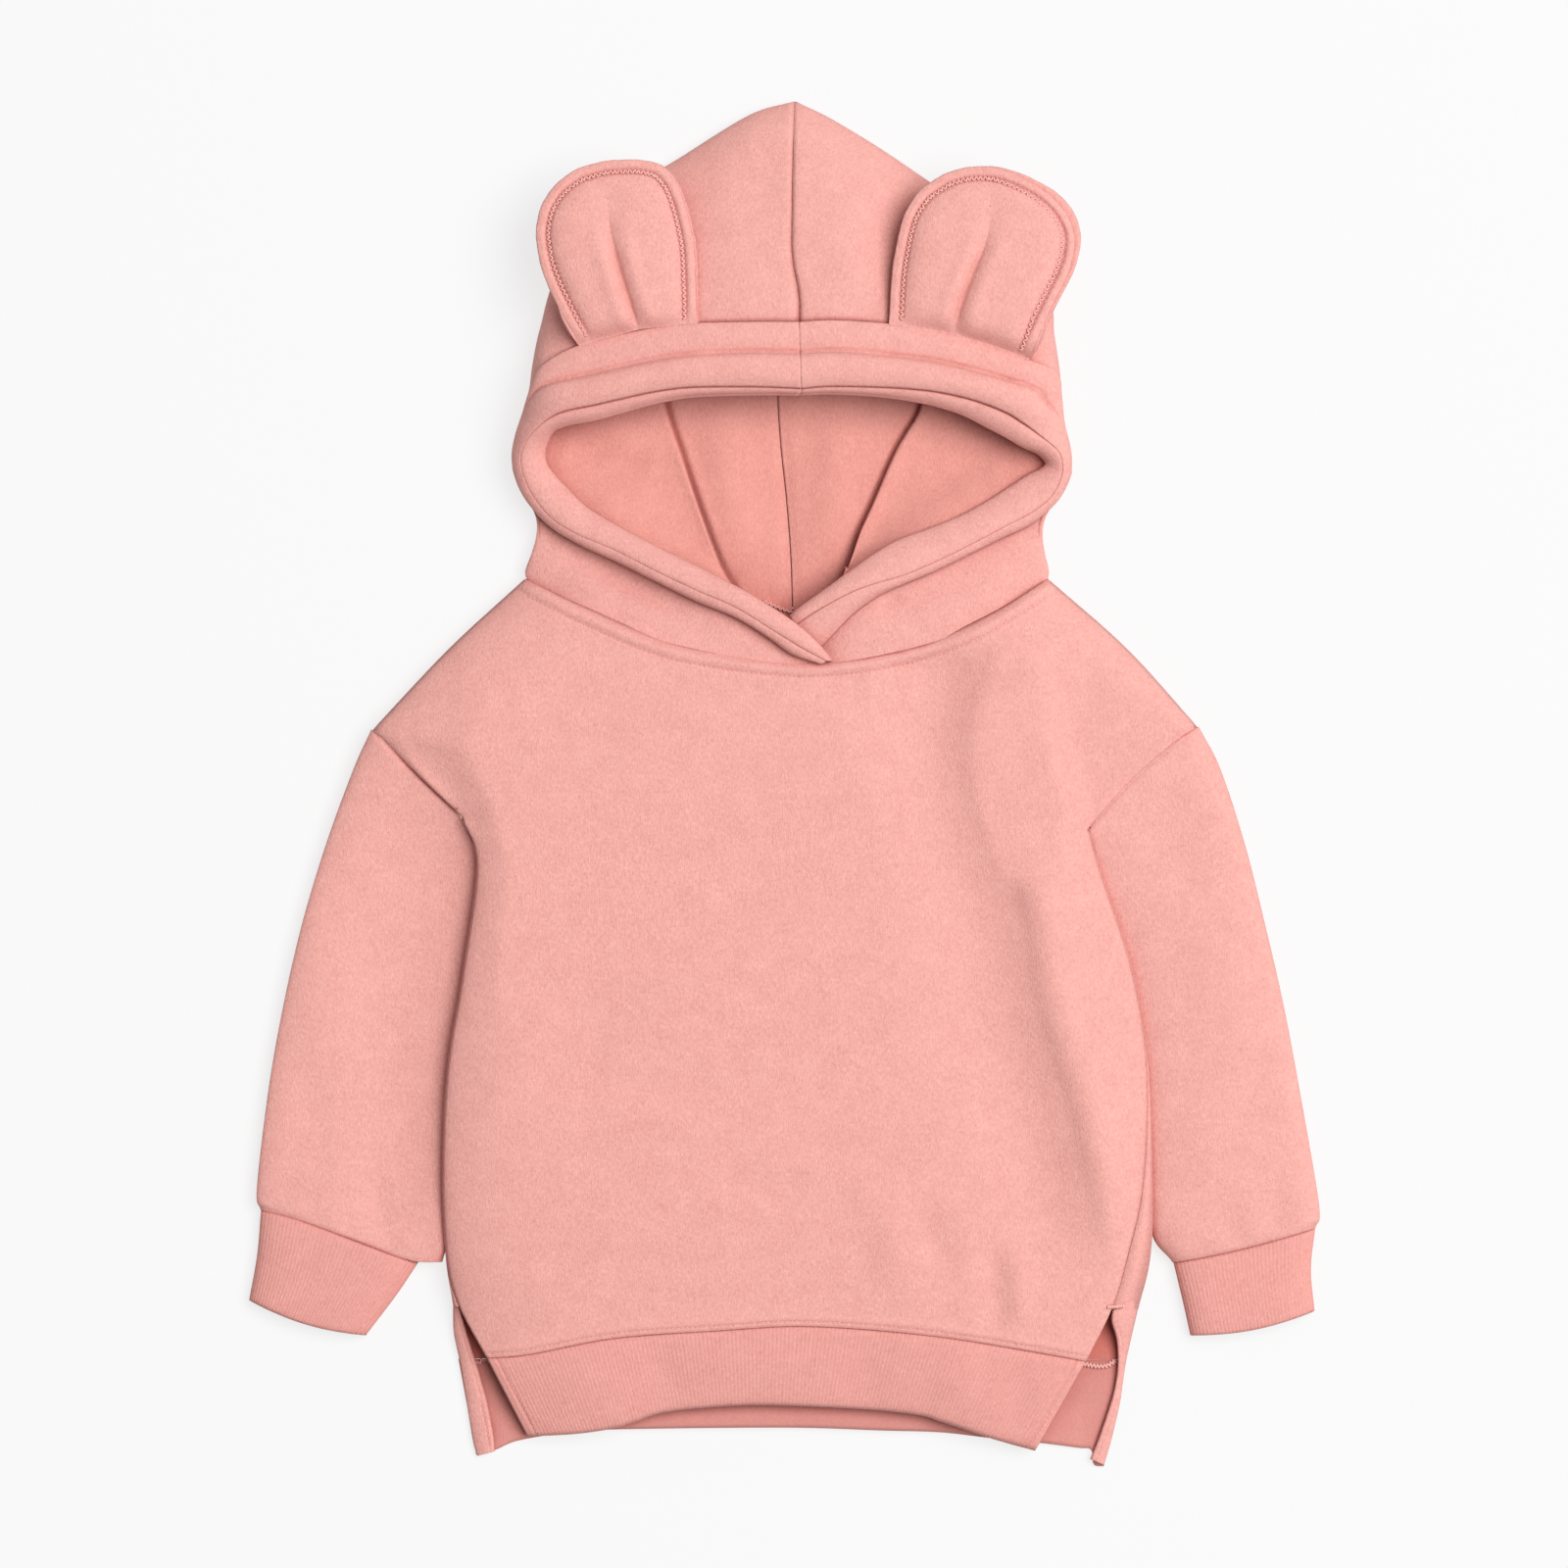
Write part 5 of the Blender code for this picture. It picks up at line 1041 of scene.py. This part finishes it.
for side in ("left", "right"):
    base, lift = [], []
    for row in hood_lines(side, HOOD_STEPS * 2):
        seam, crest, part, depth = row[SEAM], row[CREST], row[PART], row[DEPTH].clip(0, 1)
        width = np.linalg.norm(crest - seam)
        t = BAND_STEPS
        base.append(seam + (crest - seam) * t[:, None])
        whole = np.sin(np.pi * t) ** 0.7 * (BAND_PUFF[0] + BAND_PUFF[1] * width)
        upper = np.sin(np.pi * (t / part).clip(0, 1)) ** 0.7 * (t < part) * UPPER_PUFF
        lower = np.sin(np.pi * ((t - part) / (1 - part)).clip(0, 1)) ** 0.6 * (t >= part) * LOWER_PUFF
        past = (t - part) * width
        step = TIER_STEP / (1 + np.exp(-past / STEP_SOFTNESS)) - TIER_STEP * np.exp(-(past**2))
        lift.append(whole * (1 - depth) + (upper + lower + step) * depth)
    cloth(f"{side}_edge_band", raised(side, base, lift), FLEECE_WALL, fleece,
                            f"hood_band_{side}")

# ---- Facing ------------------------------------------------------------------------------------------------
# The band's inner layer, seen as a narrow strip from the seam on the crest to where it turns down into the
# hood.
FACING_STEPS = np.linspace(0, 1, 22)
FACING_TUCK = ((-1.4, 1.9), (-0.5, 0.7))  # how far in, and down, its edge goes under the band
FACING_TURN = ((0.6, 0.5), (1.0, 1.6), (1.1, 3.4))  # and how it turns down at its border
FACING_PUFF = (0.5, 0.11)  # its height, and how much more for each millimetre of its width
for side in ("left", "right"):
    base, lift = [], []
    for row in hood_lines(side, HOOD_STEPS):
        crest, border = row[CREST] - (0, 0, 0.35), row[BORDER]
        inward = np.array([*(border - crest)[:2], 0.0])
        inward /= np.linalg.norm(inward)
        tucked = [crest + inward * reach - (0, 0, fall) for reach, fall in FACING_TUCK]
        turned = [border + inward * reach - (0, 0, fall) for reach, fall in FACING_TURN]
        base.append(np.vstack([tucked, crest + (border - crest) * FACING_STEPS[:, None], turned]))
        puff = np.sin(np.pi * FACING_STEPS**0.8) ** 0.7
        puff *= FACING_PUFF[0] + FACING_PUFF[1] * np.linalg.norm(border - crest)
        lift.append(np.concatenate([[0, 0], puff, [0, 0, 0]]))
    cloth(f"{side}_facing", raised(side, base, lift), TRIM_WALL, fleece,
                              f"hood_facing_{side}")

# ---- Hood lining -------------------------------------------------------------------------------------------
# Seen through the face opening: on each side a panel that hangs from the facing down to the back of the hood,
# over two middle panels that lie on the back and meet in a seam. The side panels' edges make a crisp line
# over the middle ones.
LINING_SIDES = {
    "left": [
        # name, outer x y z, inner x y z
        ("front", -21.0, 96.5, 25.0, -25.0, 98.5, 21.5),
        ("low front", -39.5, 107.0, 23.5, -30.8, 108.0, 15.5),
        ("lower", -61.5, 119.0, 19.5, -36.5, 121.5, 12.0),
        ("lower side", -80.5, 129.0, 16.0, -43.5, 141.0, 9.8),
        ("side", -98.5, 139.5, 13.5, -49.0, 157.5, 8.8),
        ("under corner", -118.5, 154.0, 11.5, -53.0, 170.0, 8.6),
        ("corner", -125.0, 163.0, 11.0, -56.5, 180.0, 8.5),
        ("over", -126.0, 175.0, 11.0, -60.5, 193.0, 8.5),
        ("deep", -121.0, 200.0, 10.0, -65.0, 215.0, 8.2),
        ("deeper", -112.0, 235.0, 10.0, -66.0, 245.0, 8.0),
        ("crown", -88.0, 275.0, 8.0, -60.0, 285.0, 7.5),
    ],
    "right": [
        ("front", 25.0, 101.0, 22.0, 31.0, 106.0, 18.0),
        ("low front", 36.0, 109.5, 22.0, 34.2, 114.5, 14.5),
        ("lower", 53.0, 120.5, 21.0, 39.0, 129.0, 11.0),
        ("lower side", 71.5, 128.0, 19.5, 45.0, 142.5, 9.6),
        ("side", 89.5, 135.5, 17.5, 53.0, 161.5, 8.8),
        ("under corner", 106.0, 144.5, 16.5, 58.0, 172.0, 8.6),
        ("corner", 128.0, 156.0, 14.5, 61.8, 178.5, 8.5),
        ("over", 134.5, 166.0, 14.0, 69.5, 192.0, 8.5),
        ("deep", 129.0, 195.0, 12.0, 74.0, 215.0, 8.2),
        ("deeper", 125.0, 232.0, 10.0, 74.0, 245.0, 8.0),
        ("crown", 104.0, 268.0, 8.0, 68.0, 283.0, 7.5),
    ],
}
LINING_BACKS = {
    "left": [
        ("neck", -28.0, 90.0, 5.2, 4.4, 74.0, 6.0),
        ("nape", -36.0, 118.0, 4.8, 3.4, 112.0, 5.2),
        ("lower", -48.0, 140.0, 4.7, 1.2, 143.0, 5.0),
        ("middle", -60.0, 165.0, 4.7, -1.8, 172.0, 5.0),
        ("upper", -70.0, 195.0, 4.7, -3.4, 198.0, 5.0),
        ("deep", -74.0, 215.0, 4.7, -2.4, 215.0, 5.0),
        ("crown", -66.0, 280.0, 4.7, 6.0, 300.0, 5.0),
    ],
    "right": [
        ("neck", 36.0, 92.0, 5.2, 4.8, 74.0, 6.0),
        ("nape", 42.0, 124.0, 4.8, 3.8, 112.0, 5.2),
        ("lower", 52.0, 142.0, 4.7, 1.6, 143.0, 5.0),
        ("middle", 64.0, 165.0, 4.7, -1.4, 172.0, 5.0),
        ("upper", 78.0, 195.0, 4.7, -3.0, 198.0, 5.0),
        ("deep", 84.0, 215.0, 4.7, -2.0, 215.0, 5.0),
        ("crown", 74.0, 280.0, 4.7, 6.4, 300.0, 5.0),
    ],
}
LINING_FOLDS = [
    ("left lobe", -24.0, 100.0, -32.0, 200.0, 0.0, 15.0, 3.4),
    ("right lobe", 22.0, 100.0, 30.0, 200.0, 0.0, 13.0, 3.0),
    ("seam hollow", 4.5, 92.0, -3.0, 205.0, 0.0, 4.0, -1.3),
    ("left sag", -112.0, 174.0, -66.0, 162.0, -4.0, 11.0, -2.8),
    ("left crease", -96.0, 158.0, -70.0, 176.0, 3.0, 5.0, 1.3),
    ("left edge roll", -31.0, 106.0, -58.0, 186.0, -1.0, 4.5, 1.2),
    ("left belly", -66.0, 132.0, -100.0, 152.0, 3.0, 9.0, 1.6),
    ("right sag", 108.0, 166.0, 70.0, 158.0, 4.0, 10.0, -1.8),
    ("right edge roll", 34.0, 110.0, 66.0, 186.0, 1.0, 4.5, 1.2),
    ("right belly", 60.0, 134.0, 104.0, 156.0, -3.0, 9.0, 1.8),
    ("crown shade", -40.0, 205.0, 60.0, 208.0, 0.0, 14.0, 2.0),
]
# The lining is the same fleece as the outside, painted a deeper pink for the shade inside the hood.
LINING_PINK_SHADED = (0.785, 0.332, 0.284, 1.0)
LINING_ACROSS = np.linspace(0, 1, 60)
LINING_BOW = 0.22  # share of its fall by which a side panel bulges
LINING_EDGE = (0.965, 1.3)  # where its inner edge starts to turn down, and how far
UNDER_EDGE = (2.2, 2.2)  # how far the middle panels sink below that edge, and how wide

lining_fleece_shaded = cotton("lining_fleece_shaded", LINING_PINK_SHADED, heather=0.42, mottle=0.20, depth=0.55)
lining, lining_grids = {}, {}
for layer, tables in (("side", LINING_SIDES), ("back", LINING_BACKS)):
    for side, stations in tables.items():
        grid = []
        for row in refine([station[1:] for station in stations], 10):
            line = row[0:3] + (row[3:6] - row[0:3]) * LINING_ACROSS[:, None]
            if layer == "side":
                from_edge = (LINING_ACROSS - LINING_EDGE[0]).clip(0) / (1 - LINING_EDGE[0])
                line[:, 2] += (row[5] - row[2]) * LINING_BOW * np.sin(np.pi * LINING_ACROSS)
                line[:, 2] -= LINING_EDGE[1] * from_edge**2
            grid.append(line)
        grid = np.array(grid)
        grid[:, :, 2] += fold_lift(grid, LINING_FOLDS)
        if layer == "back":
            border = even_run([station[4:6] for station in LINING_SIDES[side]], 80)
            grid[:, :, 2] -= UNDER_EDGE[0] * bump_along(gap_to(grid, border), 0, UNDER_EDGE[1])
        lining_grids[layer, side] = grid if side == "right" else grid[:, ::-1]
        lining[layer, side] = cloth(f"{side}_{layer}_lining", lining_grids[layer, side], FLEECE_WALL,
                                    lining_fleece_shaded, f"lining_{layer}_{side}")

# ---- Ears --------------------------------------------------------------------------------------------------
# Each ear is two layers of fleece laid together and sewn round with an overlock stitch some 6 mm inside the
# cut edge, which leaves a flat raw rim. One pleat takes up the width where the base is caught in the band's
# seam.
EARS = {
    "left": [(-103.5, 222.0), (-111.5, 236.0), (-118.5, 250.0), (-123.5, 264.0), (-125.5, 278.5),
             (-123.5, 290.0), (-119.0, 299.0), (-112.0, 306.5), (-104.0, 311.5), (-91.0, 315.0),
             (-77.0, 316.0), (-67.5, 315.0), (-61.0, 312.0), (-55.5, 306.0), (-51.0, 296.5), (-47.5, 284.0),
             (-45.2, 271.5), (-44.2, 254.0), (-44.0, 234.0)],
    "right": [(53.0, 234.6), (53.5, 246.0), (54.5, 259.0), (57.0, 273.5), (60.0, 286.0), (65.0, 295.5),
              (71.5, 302.5), (83.0, 309.5), (94.0, 312.2), (106.0, 312.2), (117.0, 309.5), (128.0, 304.5),
              (137.0, 298.5), (144.0, 291.0), (148.5, 281.0), (148.8, 271.0), (145.5, 259.0), (137.0, 242.0),
              (124.0, 215.5)],
}
EAR_PLEATS = {
    "left": [(-89.0, 296.0), (-88.5, 287.0), (-87.0, 275.0), (-82.6, 258.0), (-77.5, 242.0), (-73.5, 229.0)],
    "right": [(104.5, 292.0), (104.0, 284.0), (101.5, 273.0), (95.0, 257.5), (89.5, 243.0), (85.5, 226.0)],
}
EAR_RIM = 6.2
EAR_NEAR = 9.0  # the points of an ear are closer together this near its edge
EAR_STITCHES = 84
EAR_ZIGZAG = 1.0  # how far the stitch swings to each side of the rim's seam
STITCH_FURROW = (0.6, 1.5)  # depth and width of the furrow that the stitch draws in, and of its needle holes
STITCH_HOLES = (0.45, 0.55)
EAR_PAD = (4.2, 5.5)  # how high the ear stands inside its rim, and how far in from there that takes
EAR_RIM_PUFF = (0.6, 3.0, 1.7)
PLEAT_CREASE = (2.2, 1.3)
PLEAT_HOLLOW = (1.3, 5.0)
PLEAT_BANKS = (1.1, 7.0, 4.5)  # their height, how far they are from the crease, and their width
PLEAT_END = (1.0, 6.5, 9.0)  # depth, width and length of the dent past its end
PLEAT_GROWS = 30.0  # over this length it grows from its end to its whole depth
EAR_HALF = 241  # points along its edge from the base to the crest
EAR_BASE, EAR_TALL = 222.0, 92.0
EAR_CAUGHT = 5.0  # how far from the band's seam the base is held down in it
EAR_LEVEL = (43.0, 5.5)  # height at the base, and how much lower the tip is
EAR_WALL, EAR_BACK_WALL = 1.2, 1.9
EAR_FRONT_INSET = {"left": (0.3, 0.0), "right": (2.2, 1.5)}
EAR_BACK_REACH = {"left": (1.0, 0.3), "right": (1.2, 0.8)}  # how far the back layer shows past the front one
EAR_BACK_BELOW = 2.2
EAR_BACK_DROOP = {"left": 1.0, "right": 2.8}
EAR_UNEVEN = ((0.05, 233, 0.0), (0.08, 101, 1.0), (0.10, 37, 2.0))  # the waver of the cut edge


def left_normals(line):
    """Unit normals on the left of a line of x, y points."""
    normal = np.column_stack([-np.gradient(line[:, 1]), np.gradient(line[:, 0])])
    return normal / np.hypot(*normal.T)[:, None]


def ear_edge(side):
    """The cut edge of an ear, each half evenly spaced, and the ear's points from there in to its pleat."""
    edge = even_run(EARS[side], 961)
    top, below = np.array(EAR_PLEATS[side][:2])
    beyond = top + (top - below) / np.hypot(*(top - below)) * 20.0
    crest = int(np.argmin(np.hypot(*(edge - beyond).T)))
    edge = np.vstack([even_run(edge[: crest + 1], EAR_HALF), even_run(edge[crest:], EAR_HALF)[1:]])
    around = np.linspace(0, 1, len(edge))
    uneven = sum(depth * np.sin(around * turns + shift) for depth, turns, shift in EAR_UNEVEN)
    raw = edge + left_normals(edge) * (uneven * np.sin(np.pi * around) ** 0.5)[:, None]
    spine = even_run(EAR_PLEATS[side][::-1], EAR_HALF)
    near, far = np.linspace(0, EAR_NEAR, 22), np.linspace(0, 1, 27)[1:] ** 0.8
    grid = []
    for start, end in zip(raw, np.vstack([spine, spine[-2::-1]])):
        length = np.hypot(*(end - start))
        close = min(EAR_NEAR, length / 2)
        steps = np.concatenate([near * (close / EAR_NEAR), close + (length - close) * far])
        grid.append(start + (end - start) * (steps / length)[:, None])
    return edge, np.array(grid)


def pleat_lift(side, x, y, inside):
    """The pleat of an ear: a groove between two soft banks, fading out above its top and before the rim."""
    line = even_run(EAR_PLEATS[side], 60)[::-1]
    off = x - np.interp(y, line[:, 1], line[:, 0])
    top_end = EAR_PLEATS[side][0][1]
    strong = ((top_end - 2.0 - y) / PLEAT_GROWS).clip(0, 1) ** 1.1
    groove = -PLEAT_CREASE[0] * np.exp(-np.abs(off / PLEAT_CREASE[1]) ** 1.2)
    groove -= PLEAT_HOLLOW[0] * bump_along(off, 0, PLEAT_HOLLOW[1])
    banks = PLEAT_BANKS[0] * bump_along(np.abs(off), *PLEAT_BANKS[1:])
    depth, width, length = PLEAT_END
    past_end = depth * bump_along(off, 0, width) * bump_along((y - top_end).clip(0), 0, length)
    pleat = (groove + banks) * strong - past_end * (1 - strong)
    return pleat * (1 - np.exp(-((inside - 3.0).clip(0) / 5.0)))


def stitch_dents(inside):
    """The dent of the overlock stitch in an ear: rows of needle holes on either side of a furrow."""
    along = np.arange(len(inside))[:, None] / (len(inside) - 1)
    turns = 0.5 + 0.5 * np.cos(2 * np.pi * EAR_STITCHES * along)
    furrow = STITCH_FURROW[0] * bump_along(inside, EAR_RIM, STITCH_FURROW[1])
    depth, width = STITCH_HOLES
    inner_holes = depth * turns**2 * bump_along(inside, EAR_RIM + EAR_ZIGZAG, width)
    outer_holes = depth * (1 - turns) ** 2 * bump_along(inside, EAR_RIM - EAR_ZIGZAG, width)
    return -furrow - inner_holes - outer_holes


ears, ear_grids = {}, {}
for side in ("left", "right"):
    edge, grid = ear_edge(side)
    x, y = grid[:, :, 0], grid[:, :, 1]
    band_seam = np.array([station[1:4] for station in HOOD_EDGE[side][FACE_FROM:]])
    band_seam = band_seam[np.argsort(band_seam[:, 0])]
    seam_y, seam_z = (np.interp(x, band_seam[:, 0], band_seam[:, k]) for k in (1, 2))
    straight = np.interp(x, [edge[0, 0], edge[-1, 0]], [edge[0, 1], edge[-1, 1]])
    from_base = (y - straight).clip(0)
    y += (seam_y - 0.8 - straight - np.minimum(0, y - straight)) * bump_along(from_base, 0, 12.0)
    inside = gap_to(grid, edge)
    rise = ((y - EAR_BASE) / EAR_TALL).clip(0, 1)
    level = EAR_LEVEL[0] - EAR_LEVEL[1] * rise**1.4
    fullness = 0.55 + 0.45 * (1 - np.abs(2 * rise - 0.9) ** 2)
    pad = EAR_PAD[0] * (1 - np.exp(-((inside - EAR_RIM).clip(0) / EAR_PAD[1]))) * fullness
    rim = EAR_RIM_PUFF[0] * bump_along(inside, *EAR_RIM_PUFF[1:]) - 0.7 * (1 - inside / 0.9).clip(0) ** 2
    wave = 0.12 * np.sin(x * 0.42 + y * 0.55) * bump_along(inside, 0, 4.0)
    dents = stitch_dents(inside)
    z = level + pad + dents + rim + wave + pleat_lift(side, x, y, inside)
    from_seam = (y - seam_y).clip(0)
    caught = np.exp(-((from_seam / EAR_CAUGHT) ** 1.4))
    z += (seam_z + 0.6 - z) * caught
    toward = (1 - inside / 14.0).clip(0, 1)
    outer_side = ((x - x.mean()) / 40.0).clip(-0.3, 1)
    inset = toward * outer_side.clip(0) * (from_base / 20.0).clip(0, 1)
    front = grid - np.array(EAR_FRONT_INSET[side]) * inset[:, :, None]
    ear_grids[side] = np.dstack([front, z - dents])
    ears[side] = cloth(f"{side}_ear", np.dstack([front, z]), EAR_WALL, fleece, f"ear_{side}_front")
    under = grid + np.array(EAR_BACK_REACH[side]) * (toward * (0.25 + 0.75 * outer_side))[:, :, None]
    low = level - EAR_BACK_BELOW - 0.8 * (1 - inside / 1.2).clip(0) ** 2
    low += 0.3 * np.sin((x - y) * 0.7) * toward
    low -= EAR_BACK_DROOP[side] * toward * outer_side.clip(0)
    low += (seam_z - 1.0 - low) * caught
    ears[side, "back"] = cloth(f"{side}_ear_back", np.dstack([under, low])[::3, ::2], EAR_BACK_WALL, fleece,
                               f"ear_{side}_back")
for piece in ears.values():
    shape = bmesh.new()
    shape.from_mesh(piece.data)
    bmesh.ops.remove_doubles(shape, verts=shape.verts, dist=0.02 * MM)
    bmesh.ops.recalc_face_normals(shape, faces=shape.faces)
    if sum(face.normal.z * face.calc_area() for face in shape.faces) < 0:
        bmesh.ops.reverse_faces(shape, faces=shape.faces)
    shape.to_mesh(piece.data)
    shape.free()
    piece.data.shade_smooth()

# ---- Stitching ---------------------------------------------------------------------------------------------
# Thread a shade lighter than the cloth: a topstitch under the neck seam, a coverstitch over the hem seam,
# zigzag round the ears, a bar tack at the right vent, overlock over the raw seams inside the vents, and chain
# stitches at the nape.
THREAD_PINK = (0.90, 0.50, 0.45, 1.0)
# the thread's painted shade in hollow places, fainter than the cloth's
THREAD_HOLLOW_SHADE = (0.92, 0.86, 0.85, 1.0)
STITCH = 2.4  # from one stitch to the next
THREAD_WIDE = 0.42
THREAD_HIGH = 0.30
THREAD_SIDES = 6
THREAD_TAPER = ((0.0, 0.25), (0.14, 0.85), (0.5, 1.0), (0.86, 0.85), (1.0, 0.25))  # share of its length, size
TACK_STITCHES = 8
TACK_START, TACK_END = (164.5, -266.8), (165.0, -264.8)  # the two ends of the bar tack's first stitch
TACK_STEP = (1.1, 0.05)
VENT_OVERLOCKS = {"left": [(-157.5, -296.0), (-152.0, -293.5), (-146.0, -297.0)],
                  "right": [(148.5, -293.6), (155.0, -296.2), (163.5, -296.8), (169.0, -294.0)]}
STRIP_ZIGZAG = [(-154.0, -314.0), (-151.8, -324.0), (-149.6, -337.0)]
BAND_VENTS = [[(-144.5, -296.0), (-137.5, -308.0), (-131.0, -319.0), (-125.5, -331.0)],
              [(147.5, -300.0), (139.5, -313.5), (131.0, -328.0), (124.5, -337.5)]]
NAPE = [(-10.5, 93.2), (-2.5, 89.6), (4.8, 87.0)]

thread = cotton("sewing_thread", THREAD_PINK, heather=0.05, mottle=0.0, depth=0.05, sheen=0.1, specks=2500.0,
                hollow=THREAD_HOLLOW_SHADE)


def height_on(surfaces, x, y):
    """The height of the highest of these grids at a place, from their nearest points to it."""
    best = -1.0
    for surface in surfaces:
        points = surface.reshape(-1, 3)
        away = (points[:, 0] - x) ** 2 + (points[:, 1] - y) ** 2
        near = np.argpartition(away, 4)[:4]
        if away[near].min() < 9.0:
            weight = 1 / (away[near] + 0.01)
            best = max(best, float(points[near, 2] @ weight / weight.sum()))
    return best


def stitches(name, pairs, surfaces, wide=THREAD_WIDE, high=THREAD_HIGH, sink=0.12, over=0.0):
    """One mesh of small thread stitches, each between two x, y places, lying on the cloth there."""
    rings, sides = len(THREAD_TAPER), THREAD_SIDES
    caps = [list(range(sides - 1, -1, -1)), list(range((rings - 1) * sides, rings * sides))]
    stitch_faces = [face[:1] + face[:0:-1] for face in grid_faces(rings, sides, ring=True)] + caps
    vertices, faces = [], []
    for start, end in pairs:
        start, end = np.array(start, float), np.array(end, float)
        along = (end - start) / max(np.hypot(*(end - start)), 1e-6)
        beside_it = np.array([-along[1], along[0]])
        heights = [height_on(surfaces, *start), height_on(surfaces, *end)]
        if min(heights) < 0:
            continue
        faces += [[len(vertices) + corner for corner in face] for face in stitch_faces]
        for share, size in THREAD_TAPER:
            spot = start + (end - start) * share
            level = heights[0] + over + (heights[1] - heights[0]) * share - sink
            for angle in np.arange(sides) * (2 * math.pi / sides):
                aside = beside_it * math.cos(angle) * wide * size * 0.5
                up = (math.sin(angle) * size * 0.5 + 0.5 * size) * high * 2
                vertices.append((*(spot + aside), level + up))
    mesh = bpy.data.meshes.new(name)
    mesh.from_pydata((np.array(vertices) * MM).tolist(), [], faces)
    mesh.materials.append(thread)
    mesh.shade_smooth()
    piece = bpy.data.objects.new(name, mesh)
    wardrobe.objects.link(piece)
    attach(piece, "root")
    return piece


def offset_line(points, distance, count=200):
    """A line beside a smooth curve, to the left of its way by this distance."""
    run = even_run(points, count)
    return run + left_normals(run) * distance


def dashes(line, pitch=STITCH, share=0.68):
    """Pairs of places for a row of straight stitches along a line."""
    run = even_run(line, int(travel(line)[-1] / pitch) + 1)
    return [(a, a + (b - a) * share) for a, b in zip(run[:-1], run[1:])]


def zigzag(line, wide, pitch=STITCH):
    """Pairs of places for a row of zigzag stitches of this width along a line."""
    run = even_run(line, 2 * int(travel(line)[-1] / pitch) + 1)
    corners = run + left_normals(run) * (np.where(np.arange(len(run)) % 2, 0.5, -0.5) * wide)[:, None]
    return list(zip(corners[:-1], corners[1:]))


def ear_zigzag(grid):
    """Pairs of places for the stitches round an ear, which turn over the needle holes in it."""
    edge = grid[:, 0, :2]
    turns = np.linspace(0, len(edge) - 1, 2 * EAR_STITCHES + 1)
    edge, inward = (np.column_stack([np.interp(turns, np.arange(len(grid)), values[:, k]) for k in (0, 1)])
                    for values in (edge, -left_normals(edge)))
    corners = edge + inward * (EAR_RIM + EAR_ZIGZAG * np.where(np.arange(len(edge)) % 2, -1.0, 1.0))[:, None]
    return list(zip(corners[2:-3], corners[3:-2]))


neck_stitches = stitches("neck_topstitch", dashes(offset_line(NECK_SEAM, -NECK_STITCH_IN)[4:-4]),
                         [front_grid])
hem_stitches = stitches("hem_coverstitch", dashes(offset_line(FRONT_HEM_SEAM, HEM_STITCH_IN)[2:-2]),
                        [front_grid])
hem_ladder = stitches("hem_ladder_stitch", zigzag(offset_line(FRONT_HEM_SEAM, 1.6)[2:-2], 1.1, 3.2),
                      [front_grid], wide=0.30, high=0.2)
for side, grid in ear_grids.items():
    stitches(f"{side}_ear_zigzag", ear_zigzag(grid), [grid],
                                  wide=0.85, high=0.42, sink=0.30)
tack = [(np.array(TACK_START) + np.array(TACK_STEP) * k, np.array(TACK_END) + np.array(TACK_STEP) * k)
        for k in range(TACK_STITCHES)]
right_tack = stitches("right_vent_bar_tack", tack, [front_grid, strip_grids["right"]],
                      wide=1.25, high=0.6, sink=-0.1)
right_overlock = stitches("right_vent_overlock", zigzag(np.array(VENT_OVERLOCKS["right"]), 3.0, 1.7),
                          [back_hem_grid], wide=1.1, high=0.9, sink=0.1, over=RIB_WALL)
left_overlock = stitches("left_vent_overlock", zigzag(np.array(VENT_OVERLOCKS["left"]), 2.4, 2.2),
                         [back_hem_grid], wide=0.9, high=0.8, sink=0.1, over=RIB_WALL)
left_zigzag = stitches("left_vent_zigzag", zigzag(np.array(STRIP_ZIGZAG), 1.8), [strip_grids["left"]])
vent_dashes = [pair for vent in BAND_VENTS for pair in dashes(even_run(vent, 40))]
vent_stitches = stitches("front_vent_stitch", vent_dashes, [hem_grid])
nape_stitches = stitches("nape_chain_stitch", zigzag(np.array(NAPE), 1.8, 2.2),
                         [lining_grids["back", "left"], lining_grids["back", "right"]],
                         wide=0.9, high=0.8, sink=-0.5)
